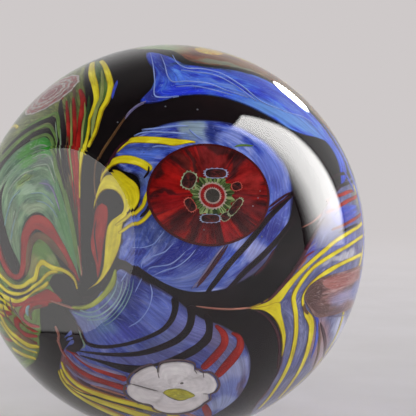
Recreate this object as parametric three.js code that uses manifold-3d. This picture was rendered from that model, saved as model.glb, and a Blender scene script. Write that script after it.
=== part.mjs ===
// A cased art-glass paperweight: a ball of clear crystal over a marbled layer of coloured glass.
// Millimetres, +Z up. The origin is the middle of the ground foot that the ball stands on.
// From the inside out: a black glass core, coloured fields laid on it, stringers drawn across
// the fields, murrine (slices of patterned cane) pressed on top, and the crystal around it all.
import * as THREE from 'three';
import { mergeVertices } from 'three/addons/utils/BufferGeometryUtils.js';
import Module from 'manifold-3d';

// ---- Driving dimensions -------------------------------------------------------------------
const BALL_RADIUS = 40;          // outside of the crystal
const FOOT_RADIUS = 14.5;        // ground flat that the ball stands on
const WINDOW_RADIUS = 17.9;      // polished flat on the side, over the point where all colours meet
const WINDOW_AZIMUTH = 35.2;     // degrees that the window faces to the left of the front
const WINDOW_TILT = 3;           // degrees that the window leans up
const PATTERN_TILT = 5;          // degrees above level of the pole that the pattern is drawn around
const BACK_AZIMUTH = 168;        // degrees round from the front to the pole of the back's pattern
const BACK_TILT = 14;            // degrees that this pole is above level
const BACK_ROLL = 180;           // degrees that the back's pattern is turned about its pole

const CORE_RADIUS = 31.8;
const FIELD_LAYER = [32.1, 32.7];       // inner and outer radius of each layer of glass
const STRINGER_LAYER = [33.0, 33.5];
const MURRINA_LAYER = [33.8, 34.3];
const CAVITY_RADIUS = 34.7;             // inside of the crystal
const FOOT_JOIN_ANGLE = 32;             // degrees from straight down where the foot gather ends
const FOOT_JOIN_GAP = 0.3;

const ARC_STEP = 6;              // degrees of arc between the sections of a stringer
const FIELD_STEP = 8;            // the same for a field, along and across
const FIELD_TIP = 0.12;          // share of a field's length that its round end takes
const BLUNT_END = 0.35;          // share of the width that is left at the very end

// ---- Colours ------------------------------------------------------------------------------
const GLASS = {
  crystal: [0xe9eef0, 0.03],
  black: [0x141012, 0.2],
  blue: [0x2346c8, 0.2],
  sky: [0x4f86e6, 0.2],
  lavender: [0x8c8fd0, 0.2],
  green: [0x4f9a4a, 0.2],
  teal: [0x6fae92, 0.2],
  olive: [0x7d9038, 0.2],
  yellow: [0xe0d21c, 0.2],
  red: [0xa81a16, 0.2],
  maroon: [0x45100f, 0.2],
  white: [0xe6e0dc, 0.2],
  pink: [0xd99a9a, 0.2],
  brown: [0x6b4a3c, 0.2],
};

// ---- The pattern --------------------------------------------------------------------------
// It is drawn on a map around a pole of the ball: [x, y] in degrees of arc, x right and y up,
// seen from outside. A field lies between two sides that run the same way along the flow of
// the glass. A stringer is a line of [x, y, width] points.
const FRONT_FIELDS = {
  "blue_field_front": ["blue",
    [[-19, 26], [-16, 22], [-10, 19], [-9, 13], [-11, 7], [-14, 3], [-15, -2], [-14.3, -5.6], [-9.5, -8.6]],
    [[-16, 29.5], [-8, 33.8], [4, 37.4], [18, 38.3], [29, 35], [37, 28], [40, 18], [38.5, 8], [34, -2],
      [27, -10.5], [17, -14.8], [6, -15.2], [-2, -12.6], [-8.8, -9.2]]],
  "blue_field_top": ["sky",
    [[-13, 77], [-9, 69], [-5.6, 61], [-6.3, 53], [-10, 46], [-5, 45.9], [3, 48.8], [13, 50], [24, 48],
      [35, 43.6], [44, 39.7], [52, 39], [59, 40.3], [64.5, 38], [68.6, 33], [70, 29.5], [75, 28]],
    [[-4, 78], [1, 72], [5, 67.3], [14, 66], [26, 66.3], [37, 65.5], [47, 61], [56, 55.5], [63, 49.5],
      [69, 42], [74, 35], [77, 29.5]]],
  "blue_field_foot": ["blue",
    [[-33, -24.3], [-27, -24.2], [-21, -20], [-17.5, -15], [-15.2, -10.6], [-11.5, -9.9], [-6, -12.2],
      [0, -17], [4, -20.5], [10, -24.6], [17, -27.6], [23, -32], [26.5, -38], [28, -46], [27.3, -54],
      [25, -60], [21.5, -65], [17.5, -69]],
    [[-34, -26], [-31, -29.5], [-28.5, -33.5], [-30.5, -37], [-37, -38.7], [-39.3, -43], [-41, -49],
      [-40, -55], [-36, -60], [-30, -65], [-23, -69], [-15, -72.5], [-6, -75], [4, -75.5], [12, -73.5]]],
  "lavender_field_right": ["lavender",
    [[64, 21.5], [58, 15], [52.5, 8], [47, -1.5], [41, -9.5], [35, -16], [31.5, -20.5], [35.5, -25],
      [38.6, -31], [40, -39], [40.3, -48], [38.6, -57], [35, -66], [31, -76]],
    [[87, 30], [100, 27], [112, 16], [118, -2], [114, -20], [104, -38], [92, -54], [78, -68], [62, -82],
      [46, -94]]],
  "green_field_lobe": ["teal",
    [[-28.8, -15], [-30.3, -6], [-32.6, 4], [-35.6, 14], [-38.8, 24], [-41, 33], [-46, 37.2], [-55, 35.5],
      [-63, 32], [-69, 25], [-70.5, 17], [-68, 9], [-65, 2], [-61.5, -4], [-58, -9], [-57, -12]],
    [[-29.3, -15.5], [-31.5, -10], [-34.5, -5], [-38, 1], [-41.5, 6], [-45.5, 9.6], [-50, 9.8], [-54, 7],
      [-56, 1], [-56.3, -5], [-56, -11]]],
  "green_field_left": ["green",
    [[-32, -14.5], [-37, -8.5], [-41.5, -2.5], [-46, 1.5], [-50.3, 0], [-52, -7], [-53.5, -14],
      [-58.5, -17.5], [-65, -16], [-73, -10], [-84, -3], [-98, 0], [-112, -2]],
    [[-36, -23], [-42, -24.5], [-47, -26.5], [-48.7, -33], [-50.5, -39.5], [-54, -46], [-60, -53],
      [-70, -62], [-84, -70], [-98, -74]]],
  "green_field_crown": ["green",
    [[-28.4, -10], [-28.9, 5], [-29.3, 18], [-28.9, 30], [-29.3, 42], [-31, 53], [-34, 64], [-37, 76],
      [-38, 90], [-38, 106]],
    [[-29, -10], [-31.3, 4], [-34.2, 14], [-37.2, 24], [-39.6, 33], [-42.2, 38.6], [-47, 40.6],
      [-54, 39.7], [-61, 37], [-70, 31], [-82, 25], [-96, 22], [-110, 22]]],
  "olive_field_crown": ["olive",
    [[-27, 31], [-25, 40], [-24, 46], [-21.5, 53], [-22.5, 60], [-26, 68], [-29.5, 78]],
    [[-28, 31], [-28.4, 42], [-27, 50], [-29.8, 58], [-32.5, 67], [-34.5, 79]]],
  "maroon_field_top": ["maroon",
    [[-22, 84], [-10, 82], [0, 79.4], [4, 74.4], [8, 69.2], [16, 67.8], [27, 68.5], [38, 67.6], [48, 63],
      [57, 57.6], [64, 52], [71, 45]],
    [[-26, 112], [-14, 114], [0, 114], [12, 112], [24, 109], [36, 104], [48, 97], [60, 87], [70, 76],
      [78, 65], [82, 56], [80, 48]]],
};

// The back has a map of its own, mirrored and turned over.
const BACK_FIELDS = {
  "green_field_back": ["green",
    [[-19, 26], [-16, 22], [-10, 19], [-9, 13], [-11, 7], [-14, 3], [-15, -2], [-14.3, -5.6], [-9.5, -8.6]],
    [[-16, 29.5], [-8, 33.8], [4, 37.4], [18, 38.3], [29, 35], [37, 28], [40, 18], [38.5, 8], [34, -2],
      [27, -10.5], [17, -14.8], [6, -15.2], [-2, -12.6], [-8.8, -9.2]]],
  "blue_field_back": ["blue",
    [[-34, 26], [-27, 38], [-15, 46], [0, 50], [15, 50.5], [30, 47], [43, 39], [51, 27], [53, 13]],
    [[-47, 30], [-41, 48], [-25, 61], [-4, 67], [18, 67], [38, 62], [55, 52], [67, 36], [70, 16]]],
  "lavender_field_back": ["lavender",
    [[-30, 12], [-27, 2], [-26, -8], [-20, -17], [-8, -24], [6, -27], [20, -26.5], [33, -20], [43, -10]],
    [[-50, 14], [-49, -3], [-43, -19], [-32, -33], [-14, -42], [6, -43.5], [26, -41], [43, -33], [56, -19]]],
};

const STRINGERS = {
  "yellow_stringer_crown_left": ["yellow", [[-34.5, 79, 2.4], [-32, 66, 3], [-29.5, 57, 2.8], [-26.6, 50, 2],
    [-27.9, 43, 1.4], [-27.4, 36, 1], [-28.4, 30, 1.4], [-29, 23, 0.7]]],
  "yellow_stringer_crown_right": ["yellow", [[-29.8, 77, 2], [-26, 69, 2.2], [-22, 59, 2.3], [-21.6, 52, 2],
    [-24, 45, 1.5], [-25, 40, 1.1], [-26.2, 34, 1]]],
  "yellow_stringer_upper": ["yellow", [[-17.5, 27.8, 0.8], [-14, 30.5, 1.5], [-8, 31.4, 1.7],
    [-1, 30.8, 2.1], [2.5, 30.2, 1.6]]],
  "yellow_zigzag_left": ["yellow", [[-30.2, -16.6, 0.7], [-31.2, -14.2, 1], [-33.6, -12.1, 1.3],
    [-36.6, -11.1, 1.6], [-40, -10.4, 1.9], [-44.5, -8.7, 2.4], [-47.4, -10.4, 2.2], [-49.2, -14.6, 2.2], [-55, -18, 1.7],
    [-62, -19.6, 1.7], [-68, -18, 1.9], [-75, -14, 2.2]]],
  "yellow_stringer_left_middle": ["yellow", [[-43.2, -14.2, 1.6], [-47, -17.2, 1.3], [-52, -20.4, 1.3],
    [-58, -22.9, 1.5], [-66, -23.2, 1.7], [-74, -20.6, 2]]],
  "yellow_stringer_rim_upper": ["yellow", [[-50, -40, 1.4], [-58, -40.6, 1.8], [-66, -37.6, 2.2],
    [-73, -33, 2]]],
  "yellow_stringer_right_middle": ["yellow", [[106, 3, 1.2], [92, 2.4, 1.5], [78, 0, 1.2], [66, -3.5, 1.3], [56, -6, 1.4],
    [48, -10, 1.4], [43, -14.5, 1.8], [41, -19, 1.8], [43, -26, 1.8], [44.5, -34, 2], [44.5, -44, 2],
    [43, -55, 2], [41, -64, 1.6], [38, -73, 1.4]]],
  "yellow_stringer_right_outer": ["yellow", [[104, -5, 1.2], [90, -5.4, 1.5], [76, -7.5, 1.3], [64, -9.5, 1.5],
    [55, -11.5, 1.6], [48, -14.5, 1.2], [45.2, -18, 1], [45.6, -22, 1.2], [48, -26.4, 2.6],
    [50.8, -30, 2.2], [52, -36, 2], [52.5, -44, 2], [51.5, -54, 2], [50, -62, 1.8], [48, -70, 1.4]]],
  "yellow_band_foot_upper": ["yellow", [[-38.6, -45, 1], [-37.4, -50, 1.6], [-33, -54.6, 2],
    [-26, -57.4, 2.4], [-18, -59.8, 2.2], [-11, -62, 1.8]]],
  "yellow_band_foot_middle": ["yellow", [[-40.2, -50, 1], [-38, -55.4, 1.8], [-32, -60, 2.8],
    [-24, -63, 3.2], [-15, -65.4, 3], [-7, -68, 2.4]]],
  "olive_stringer_left": ["olive", [[-15.7, -10.6, 1], [-16.6, -14, 2.2], [-20, -18.4, 1.8],
    [-24.5, -22.3, 1.4], [-31, -24, 1.1]]],
  "red_arch": ["red", [[-29.3, -14.2, 0.6], [-31.2, -10.8, 1.7], [-34.4, -6.6, 3.4], [-39, -0.6, 4.8],
    [-44, 5.3, 5.2], [-49, 6.2, 5.2], [-53, 2.6, 4.4], [-54.4, -4, 3.3], [-54.9, -10, 3],
    [-57.2, -14.5, 2.5], [-61, -15.4, 2.3], [-65, -13.6, 2.6], [-69, -9, 3.2], [-73.5, -2, 3.4]]],
  "red_finger": ["red", [[-19.8, 11.4, 2.4], [-20, 9.6, 4.4], [-21, 5, 4.8], [-22.5, 0, 4.6],
    [-21.8, -6, 2.6], [-21.9, -8.8, 1]]],
  "red_swirl": ["red", [[-37.5, -23.2, 1], [-42, -21, 3.6], [-48.5, -24, 3.8], [-55, -28.6, 4],
    [-57.4, -32.6, 3.6], [-53.6, -35.4, 3], [-49.8, -34.6, 2.2]]],
  "red_stripe_crown_inner": ["red", [[-28.7, -8, 0.5], [-29.6, 5, 0.9], [-30.7, 18, 1.9],
    [-31.3, 30, 2.3], [-31.4, 42, 2], [-33.2, 55, 1.8]]],
  "red_stripe_foot_inner": ["red", [[9.5, -42, 2.6], [14.4, -37.2, 2.8], [17.2, -33, 2.6],
    [16, -28.6, 1.8]]],
  "red_stripe_foot_outer": ["red", [[16, -46, 3], [19.4, -41, 3.1], [22.3, -36, 2.9],
    [21.6, -31.4, 1.8]]],
  "red_stripe_foot_left_upper": ["red", [[-34, -38.8, 1], [-30, -42, 1.7], [-24, -45, 2],
    [-15.4, -47.6, 2.4]]],
  "red_stripe_foot_left_lower": ["red", [[-37, -39.7, 1], [-34.4, -44.4, 1.9], [-29, -48.2, 2.4],
    [-22, -50, 2.6], [-15.8, -51.4, 2.6]]],
  "black_drop": ["black", [[-31.4, -19.2, 1.6], [-33.4, -18.4, 6.2], [-36.6, -17.5, 8.8],
    [-40, -16.8, 6.6], [-42.2, -16.6, 1.6]]],
  "black_chevron_crown": ["black", [[-38.4, 30, 1], [-40.6, 38, 2], [-43.8, 43.6, 3.4],
    [-48.5, 44.4, 3.4], [-54, 43.2, 2], [-60, 41.4, 1]]],
  "black_stripe_front_upper": ["black", [[37.6, 12.2, 1], [31, 7, 1.5], [25, 1, 1.7], [18.4, -6.6, 1.6],
    [12.4, -14, 1.2]]],
  "black_stripe_front_lower": ["black", [[34.4, 0.4, 1.6], [28.6, -4.8, 1.7], [23, -9.6, 1.6],
    [18.6, -13.8, 1.1]]],
  "black_arc_foot_upper": ["black", [[-29.6, -33, 1.2], [-26.6, -34.8, 1.6], [-22, -35.2, 1.3],
    [-15, -34, 1.2], [-8, -31.5, 1.3], [-2, -28, 1.5], [1, -24.6, 1.6], [2.2, -21, 1.2]]],
  "black_arc_foot_middle": ["black", [[-32, -37.9, 0.9], [-26, -38, 1], [-18, -37.8, 1.4],
    [-10, -36.8, 1.7], [-3, -34.4, 2], [3, -31, 2.2], [6, -27.6, 2.1], [6.6, -23.4, 2]]],
  "black_arc_foot_lower": ["black", [[-31, -39.7, 1.1], [-20, -41.4, 1.4], [-10, -41.6, 1.7],
    [-3, -40.4, 2], [3, -38.4, 2.2], [8.4, -35.8, 2.6], [12, -32, 2.7], [11.8, -28.4, 2], [10.4, -25.6, 1]]],
};

// Stringers that branch: the lines of each are joined into one piece.
const FORKS = {
  "yellow_fork_left": ["yellow", [
    [[-25.6, -16.6, 0.9], [-22.4, -14.4, 1.3], [-20, -11, 1.9], [-18.2, -6, 3], [-17, 0, 4.6], [-15.6, 4.4, 4]],
    [[-22.9, 9.4, 0.7], [-22.1, 13.6, 1.4], [-20, 17.6, 2.7], [-16.2, 19.4, 4.6], [-12.2, 16.8, 5],
      [-10.4, 12.8, 3.4], [-12, 9.6, 2.6], [-15.4, 5.6, 2.4]],
    [[-20.6, 21.6, 0.8], [-18.4, 24.2, 1.5], [-14, 25.1, 1.9], [-9, 23.8, 2.4], [-7.2, 20.6, 2.2],
      [-7.6, 15, 1.5], [-9.4, 9.4, 1.2], [-12.6, 6.6, 1.2], [-16, 3, 1.4]],
    [[-6.2, 8.2, 1.2], [-8.6, 5.8, 1.4], [-12, 4.3, 1.3], [-16, 0.6, 1.3]]]],
  "yellow_fork_right": ["yellow", [
    [[9, -21, 0.6], [20, -21.6, 0.7], [27, -21.3, 1.6], [31, -20.8, 3.4], [34.4, -19.6, 4.6]],
    [[33.6, -19.6, 4], [36, -17.4, 3], [39, -13.8, 2.2], [44, -9.2, 1.5], [51, -4.4, 1.4], [60, 0.4, 1.5],
      [70, 2.6, 1.4], [80, 5.8, 1.4], [92, 9, 1.6], [104, 10, 1.2]],
    [[33, -20.4, 4.6], [35.2, -23.4, 3.2], [37.6, -27.6, 2], [39, -32, 1.3], [39.9, -40, 0.8]]]],
};

// A murrina: [x, y, half width, half height, turn in degrees], and its rings from the middle
// out, each as [node, colour, inner share, outer share, lobes, depth of the lobes].
const MURRINE = [
  { at: [12.3, 13.7, 18.9, 15.7, 0], rings: [
    ["red_murrina_core", "black", 0, 0.13, 0, 0],
    ["red_murrina_red_ring", "red", 0.16, 0.24, 0, 0],
    ["red_murrina_green_ring", "green", 0.27, 0.37, 0, 0],
    ["red_murrina_window_ring", "white", 0.4, 0.55, 7, 0.03],
    ["red_murrina_body", "red", 0.58, 0.92, 0, 0],
    ["red_murrina_rim", "maroon", 0.945, 1, 0, 0]] },
  { at: [0.8, -52.4, 16.2, 13.6, -6], rings: [
    ["white_murrina_centre", "yellow", 0, 0.26, 0, 0],
    ["white_murrina_petals", "white", 0.3, 0.97, 8, 0.05]] },
  { at: [-50, 60.6, 14.6, 10, 16], rings: [
    ["pink_murrina_centre", "red", 0, 0.4, 0, 0],
    ["pink_murrina_petals", "pink", 0.44, 0.95, 9, 0.04]] },
  { at: [64, -20.6, 15.6, 7.2, -3], rings: [
    ["brown_murrina_centre", "red", 0, 0.42, 0, 0],
    ["brown_murrina_rim", "brown", 0.46, 1, 0, 0]] },
  { at: [17, 82.6, 6.4, 5, 8], rings: [
    ["yellow_murrina", "yellow", 0, 1, 0, 0]] },
];
const BACK_MURRINE = [
  { at: [13, 12.5, 16.5, 14, 0], rings: [
    ["back_murrina_centre", "yellow", 0, 0.3, 0, 0],
    ["back_murrina_petals", "white", 0.34, 0.82, 8, 0.05],
    ["back_murrina_rim", "maroon", 0.88, 1, 0, 0]] },
];

// ---- Geometry helpers ---------------------------------------------------------------------
const wasm = await Module();
wasm.setup();

const radians = THREE.MathUtils.degToRad;

// The directions of a map: its pole, and x and y at the pole. Side is -1 on a mirrored map.
function mapFrame(azimuth, elevation, roll = 0, side = 1) {
  const matrix = new THREE.Matrix4().makeRotationZ(radians(azimuth))
    .multiply(new THREE.Matrix4().makeRotationX(radians(-elevation)))
    .multiply(new THREE.Matrix4().makeRotationY(radians(roll)));
  return {
    pole: new THREE.Vector3(0, -1, 0).applyMatrix4(matrix),
    right: new THREE.Vector3(side, 0, 0).applyMatrix4(matrix),
    up: new THREE.Vector3(0, 0, 1).applyMatrix4(matrix),
  };
}

// A point of the map, on a sphere of the given radius about the middle of the ball.
function onBall(frame, x, y, radius) {
  const arc = Math.hypot(x, y);
  const along = arc > 0 ? Math.sin(radians(arc)) / arc : 0;
  return new THREE.Vector3()
    .addScaledVector(frame.pole, Math.cos(radians(arc)) * radius)
    .addScaledVector(frame.right, x * along * radius)
    .addScaledVector(frame.up, y * along * radius);
}

function curveThrough(points) {
  return new THREE.CatmullRomCurve3(points.map(([x, y, width = 0]) => new THREE.Vector3(x, y, width)));
}

// Moves every vertex of a closed box or lathe, joins the vertices that meet, and turns the
// faces out if the move turned them in.
function bend(geometry, place) {
  const shape = geometry.clone();
  shape.deleteAttribute('normal');
  shape.deleteAttribute('uv');
  const position = shape.attributes.position;
  for (let i = 0; i < position.count; i += 1) {
    const point = place(position.getX(i), position.getY(i), position.getZ(i));
    position.setXYZ(i, point.x, point.y, point.z);
  }
  return facingOut(mergeVertices(shape, 1e-4));
}

function facingOut(geometry) {
  const index = [];
  const old = geometry.index.array;
  const position = geometry.attributes.position;
  const corner = [new THREE.Vector3(), new THREE.Vector3(), new THREE.Vector3()];
  let volume = 0;
  for (let i = 0; i < old.length; i += 3) {
    const [a, b, c] = [old[i], old[i + 1], old[i + 2]];
    if (a === b || b === c || c === a) continue;
    corner.forEach((v, k) => v.fromBufferAttribute(position, old[i + k]));
    volume += corner[0].dot(corner[1].clone().cross(corner[2]));
    index.push(a, b, c);
  }
  if (volume < 0) index.reverse();
  geometry.setIndex(index);
  return geometry;
}

// Narrows a sheet near both of its ends, as part of a circle does.
function roundEnd(share, tip) {
  const reach = Math.min(share, 1 - share) / tip;
  return reach < 1 ? Math.sqrt(Math.max(1 - (1 - reach) ** 2, BLUNT_END ** 2)) : 1;
}

// A sheet of glass between two sides of the map.
function field(frame, sideA, sideB, [inner, outer]) {
  const [curveA, curveB] = [curveThrough(sideA), curveThrough(sideB)];
  const length = Math.max(curveA.getLength(), curveB.getLength());
  const widths = [0.25, 0.5, 0.75].map((t) => curveA.getPointAt(t).distanceTo(curveB.getPointAt(t)));
  const along = Math.max(6, Math.round(length / FIELD_STEP));
  const across = Math.max(2, Math.round(Math.max(...widths) / FIELD_STEP));
  return bend(new THREE.BoxGeometry(1, 1, 1, along, across, 1), (u, v, w) => {
    const share = v * roundEnd(u + 0.5, FIELD_TIP) + 0.5;
    const point = curveA.getPointAt(u + 0.5).lerp(curveB.getPointAt(u + 0.5), share);
    return onBall(frame, point.x, point.y, THREE.MathUtils.lerp(inner, outer, w + 0.5));
  });
}

// A line of glass whose width follows the third number of its points.
function stringer(frame, points, [inner, outer]) {
  const curve = curveThrough(points);
  const along = Math.max(4, Math.round(curve.getLength() / ARC_STEP));
  return bend(new THREE.BoxGeometry(1, 1, 1, along, 1, 1), (u, v, w) => {
    const point = curve.getPointAt(u + 0.5);
    const tangent = curve.getTangentAt(u + 0.5);
    const side = new THREE.Vector2(-tangent.y, tangent.x).normalize().multiplyScalar(point.z * v);
    return onBall(frame, point.x + side.x, point.y + side.y, THREE.MathUtils.lerp(inner, outer, w + 0.5));
  });
}

// One ring or round slice of a murrina, with lobes around its outer edge if it is a flower.
function ring(frame, [x, y, halfWidth, halfHeight, turn], innerShare, outerShare, lobes, depth) {
  const middle = (innerShare + outerShare) / 2;
  const edge = [[outerShare, 0], [outerShare, 1]];
  const profile = innerShare === 0
    ? [[0, 0], ...edge, [0, 1]]
    : [[innerShare, 0], [middle, 0], ...edge, [middle, 1], [innerShare, 1], [innerShare, 0]];
  const segments = lobes > 0 ? lobes * 4 : 18;
  const lathe = new THREE.LatheGeometry(profile.map(([r, h]) => new THREE.Vector2(r, h)), segments);
  const [inner, outer] = MURRINA_LAYER;
  return bend(lathe, (px, height, pz) => {
    const angle = Math.atan2(pz, px);
    const share = Math.hypot(px, pz);
    const wave = share > middle ? 1 - depth * (1 + Math.cos(lobes * angle)) * Math.sign(lobes) : 1;
    const local = new THREE.Vector2(Math.cos(angle) * halfWidth, Math.sin(angle) * halfHeight)
      .multiplyScalar(share * wave)
      .rotateAround(new THREE.Vector2(), radians(turn));
    return onBall(frame, x + local.x, y + local.y, THREE.MathUtils.lerp(inner, outer, height));
  });
}

// ---- Joining and cutting ------------------------------------------------------------------
function solid(geometry) {
  const merged = geometry.index ? geometry : facingOut(mergeVertices(geometry, 1e-4));
  return new wasm.Manifold(new wasm.Mesh({
    numProp: 3,
    vertProperties: new Float32Array(merged.attributes.position.array),
    triVerts: new Uint32Array(merged.index.array),
  }));
}

function toGeometry(manifold) {
  const mesh = manifold.getMesh();
  const geometry = new THREE.BufferGeometry();
  geometry.setAttribute('position', new THREE.BufferAttribute(new Float32Array(mesh.vertProperties), 3));
  geometry.setIndex(new THREE.BufferAttribute(new Uint32Array(mesh.triVerts), 1));
  return geometry;
}

function lathed(points, segments) {
  const profile = points.map(([r, z]) => new THREE.Vector2(Math.max(r, 0), z));
  return bend(new THREE.LatheGeometry(profile, segments), (x, y, z) => new THREE.Vector3(x, -z, y));
}

// Points of a circle about the ball's middle, from one angle above straight down to another.
function arcPoints(radius, from, to, steps) {
  return Array.from({ length: steps + 1 }, (_, i) => {
    const angle = radians(THREE.MathUtils.lerp(from, to, i / steps));
    return [radius * Math.sin(angle), -radius * Math.cos(angle)];
  });
}

// ---- The pieces ---------------------------------------------------------------------------
const ball = new THREE.Group();
const footDepth = Math.sqrt(BALL_RADIUS ** 2 - FOOT_RADIUS ** 2);
ball.position.z = footDepth;

function add(name, colour, geometry) {
  const [color, roughness] = GLASS[colour];
  const clear = colour === 'crystal';
  const material = new THREE.MeshStandardMaterial({
    color, roughness, metalness: 0, transparent: clear, opacity: clear ? 0.3 : 1,
  });
  const mesh = new THREE.Mesh(geometry, material);
  mesh.name = name;
  ball.add(mesh);
}

// The crystal gather: a shell round the coloured ball, open below, with the window ground flat.
function crystalCasing() {
  const shell = lathed([
    ...arcPoints(BALL_RADIUS, FOOT_JOIN_ANGLE, 180, 15),
    ...arcPoints(CAVITY_RADIUS, 180, FOOT_JOIN_ANGLE, 16),
    ...arcPoints(BALL_RADIUS, FOOT_JOIN_ANGLE, 180, 15).slice(0, 1),
  ], 40);
  const windowDistance = Math.sqrt(BALL_RADIUS ** 2 - WINDOW_RADIUS ** 2);
  const { pole } = mapFrame(-WINDOW_AZIMUTH, WINDOW_TILT);
  const cutter = new THREE.BoxGeometry(BALL_RADIUS, BALL_RADIUS, BALL_RADIUS);
  cutter.lookAt(pole);
  cutter.translate(...pole.clone().multiplyScalar(windowDistance + BALL_RADIUS / 2).toArray());
  cutter.deleteAttribute('normal');
  cutter.deleteAttribute('uv');
  return toGeometry(solid(shell).subtract(solid(mergeVertices(cutter, 1e-4))));
}

// The foot gather: closes the casing below, and is ground flat to stand on.
function crystalFoot() {
  const footAngle = THREE.MathUtils.radToDeg(Math.asin(FOOT_RADIUS / BALL_RADIUS));
  const joinAngle = FOOT_JOIN_ANGLE - THREE.MathUtils.radToDeg(FOOT_JOIN_GAP / CAVITY_RADIUS);
  return lathed([
    [0, -footDepth],
    ...arcPoints(BALL_RADIUS, footAngle, joinAngle, 3),
    ...arcPoints(CAVITY_RADIUS, joinAngle, 0, 5),
  ], 32);
}

add('crystal_casing', 'crystal', crystalCasing());
add('crystal_foot', 'crystal', crystalFoot());
add('black_core', 'black', bend(new THREE.SphereGeometry(CORE_RADIUS, 24, 14),
  (x, y, z) => new THREE.Vector3(x, -z, y)));

const front = mapFrame(0, PATTERN_TILT);
const back = mapFrame(BACK_AZIMUTH, BACK_TILT, BACK_ROLL, -1);
for (const [frame, fields] of [[front, FRONT_FIELDS], [back, BACK_FIELDS]]) {
  for (const [name, [colour, sideA, sideB]] of Object.entries(fields)) {
    add(name, colour, field(frame, sideA, sideB, FIELD_LAYER));
  }
}
for (const [name, [colour, points]] of Object.entries(STRINGERS)) {
  add(name, colour, stringer(front, points, STRINGER_LAYER));
}
for (const [name, [colour, lines]] of Object.entries(FORKS)) {
  const branches = lines.map((points) => solid(stringer(front, points, STRINGER_LAYER)));
  add(name, colour, toGeometry(branches.reduce((whole, branch) => whole.add(branch))));
}
for (const [frame, murrine] of [[front, MURRINE], [back, BACK_MURRINE]]) {
  for (const { at, rings } of murrine) {
    for (const [name, colour, innerShare, outerShare, lobes, depth] of rings) {
      add(name, colour, ring(frame, at, innerShare, outerShare, lobes, depth));
    }
  }
}

const paperweight = new THREE.Group();
paperweight.add(ball);

export default paperweight;
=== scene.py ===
# The looks of a cased art-glass paperweight: marbled glass in a ball of clear crystal.
# Sizes are in metres, and places on the pattern's maps are in degrees of arc about the ball's middle.
import math

import bmesh
import bpy
import numpy as np
from mathutils import Matrix, Vector

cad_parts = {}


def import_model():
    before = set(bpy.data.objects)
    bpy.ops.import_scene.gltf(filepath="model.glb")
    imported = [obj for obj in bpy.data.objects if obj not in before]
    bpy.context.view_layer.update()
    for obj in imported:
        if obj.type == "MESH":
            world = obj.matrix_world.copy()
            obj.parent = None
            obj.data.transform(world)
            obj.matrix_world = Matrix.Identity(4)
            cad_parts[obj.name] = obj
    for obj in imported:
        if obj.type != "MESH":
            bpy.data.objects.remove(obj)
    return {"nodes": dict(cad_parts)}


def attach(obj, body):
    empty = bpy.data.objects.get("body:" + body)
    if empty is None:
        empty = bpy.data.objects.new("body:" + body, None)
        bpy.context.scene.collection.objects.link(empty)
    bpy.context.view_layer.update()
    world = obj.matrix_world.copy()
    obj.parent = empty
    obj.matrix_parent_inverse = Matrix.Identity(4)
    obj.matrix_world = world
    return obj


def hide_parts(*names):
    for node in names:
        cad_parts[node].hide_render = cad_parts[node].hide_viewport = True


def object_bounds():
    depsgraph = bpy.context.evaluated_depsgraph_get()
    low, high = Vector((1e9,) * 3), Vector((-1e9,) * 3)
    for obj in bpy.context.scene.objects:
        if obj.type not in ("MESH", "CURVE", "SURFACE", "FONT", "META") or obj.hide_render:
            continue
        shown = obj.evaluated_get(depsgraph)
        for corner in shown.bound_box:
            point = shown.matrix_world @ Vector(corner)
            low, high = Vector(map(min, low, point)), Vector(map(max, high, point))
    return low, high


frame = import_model()
cad_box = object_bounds()

MM = 0.001
BALL_RADIUS = 40 * MM
CENTRE = Vector((0, 0, cad_box[1].z - BALL_RADIUS))
WINDOW_RADIUS = 17.9 * MM
WINDOW_AZIMUTH = 35.2        # degrees to the left of the front
WINDOW_TILT = 3              # degrees up
CHAMFER = 0.3 * MM           # ground edge of the window and the foot

# Outer radius of each layer of glass. They are fused, so the steps are too small to see.
CORE = 32.7 * MM
FIELD = 32.98 * MM
STRINGER = 33.06 * MM
THREAD = 33.24 * MM
MURRINA = 33.3 * MM
DETAIL = 33.36 * MM
LIFT = 0.004 * MM            # a later piece of a layer lies this much above the one before
DEPTH = 0.6 * MM             # how far every piece reaches in

# Steps of a smooth curve between two of its points.
LINE_STEPS = 24
LOOP_STEPS = 6

# The crystal is turned in rings: across its window, then down its side.
WINDOW_RINGS = 12
BALL_RINGS = 200
BALL_SEGMENTS = 400
GLASS_CREASE = math.radians(35)      # edges sharper than this stay sharp
CRYSTAL_CREASE = math.radians(5)

# The noises of the marbling. along and across are what each glass gives marbled().
RAMP_SPREAD = 0.17           # most of the broad noise lies within this of one half
STREAK_PULL = 2.2            # fine streaks are this much longer than along and thinner than across
HAIR_STRETCH = 0.8           # hairlines follow a noise with spots this share of along long
HAIR_GAP = 3.2               # and this many degrees wide
HAIR_FOLDS = 9.0             # how many of its levels turn into hairlines
WANDER_SCALE = 0.16          # the slow noise that makes the edges of spots uneven
WANDER_REACH = 7.0           # how many degrees it moves them by, at most half of it each way
SPOT_SOFTNESS = 0.5          # share of a spot's radius that its edge fades over, inwards and outwards

CAMERA_ELEVATION = 5
CAMERA_DISTANCE = 7 * BALL_RADIUS


# ---- The pattern's maps -------------------------------------------------------------------
def map_frame(azimuth, elevation, roll=0, side=1):
    """Right, pole and up of a map, as rows."""
    turn = (Matrix.Rotation(math.radians(azimuth), 3, "Z")
            @ Matrix.Rotation(math.radians(-elevation), 3, "X")
            @ Matrix.Rotation(math.radians(roll), 3, "Y"))
    return np.array([turn @ Vector((side, 0, 0)), turn @ Vector((0, -1, 0)), turn @ Vector((0, 0, 1))])


FRONT = map_frame(0, CAMERA_ELEVATION)
BACK = map_frame(168, 14, 180, -1)


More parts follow.
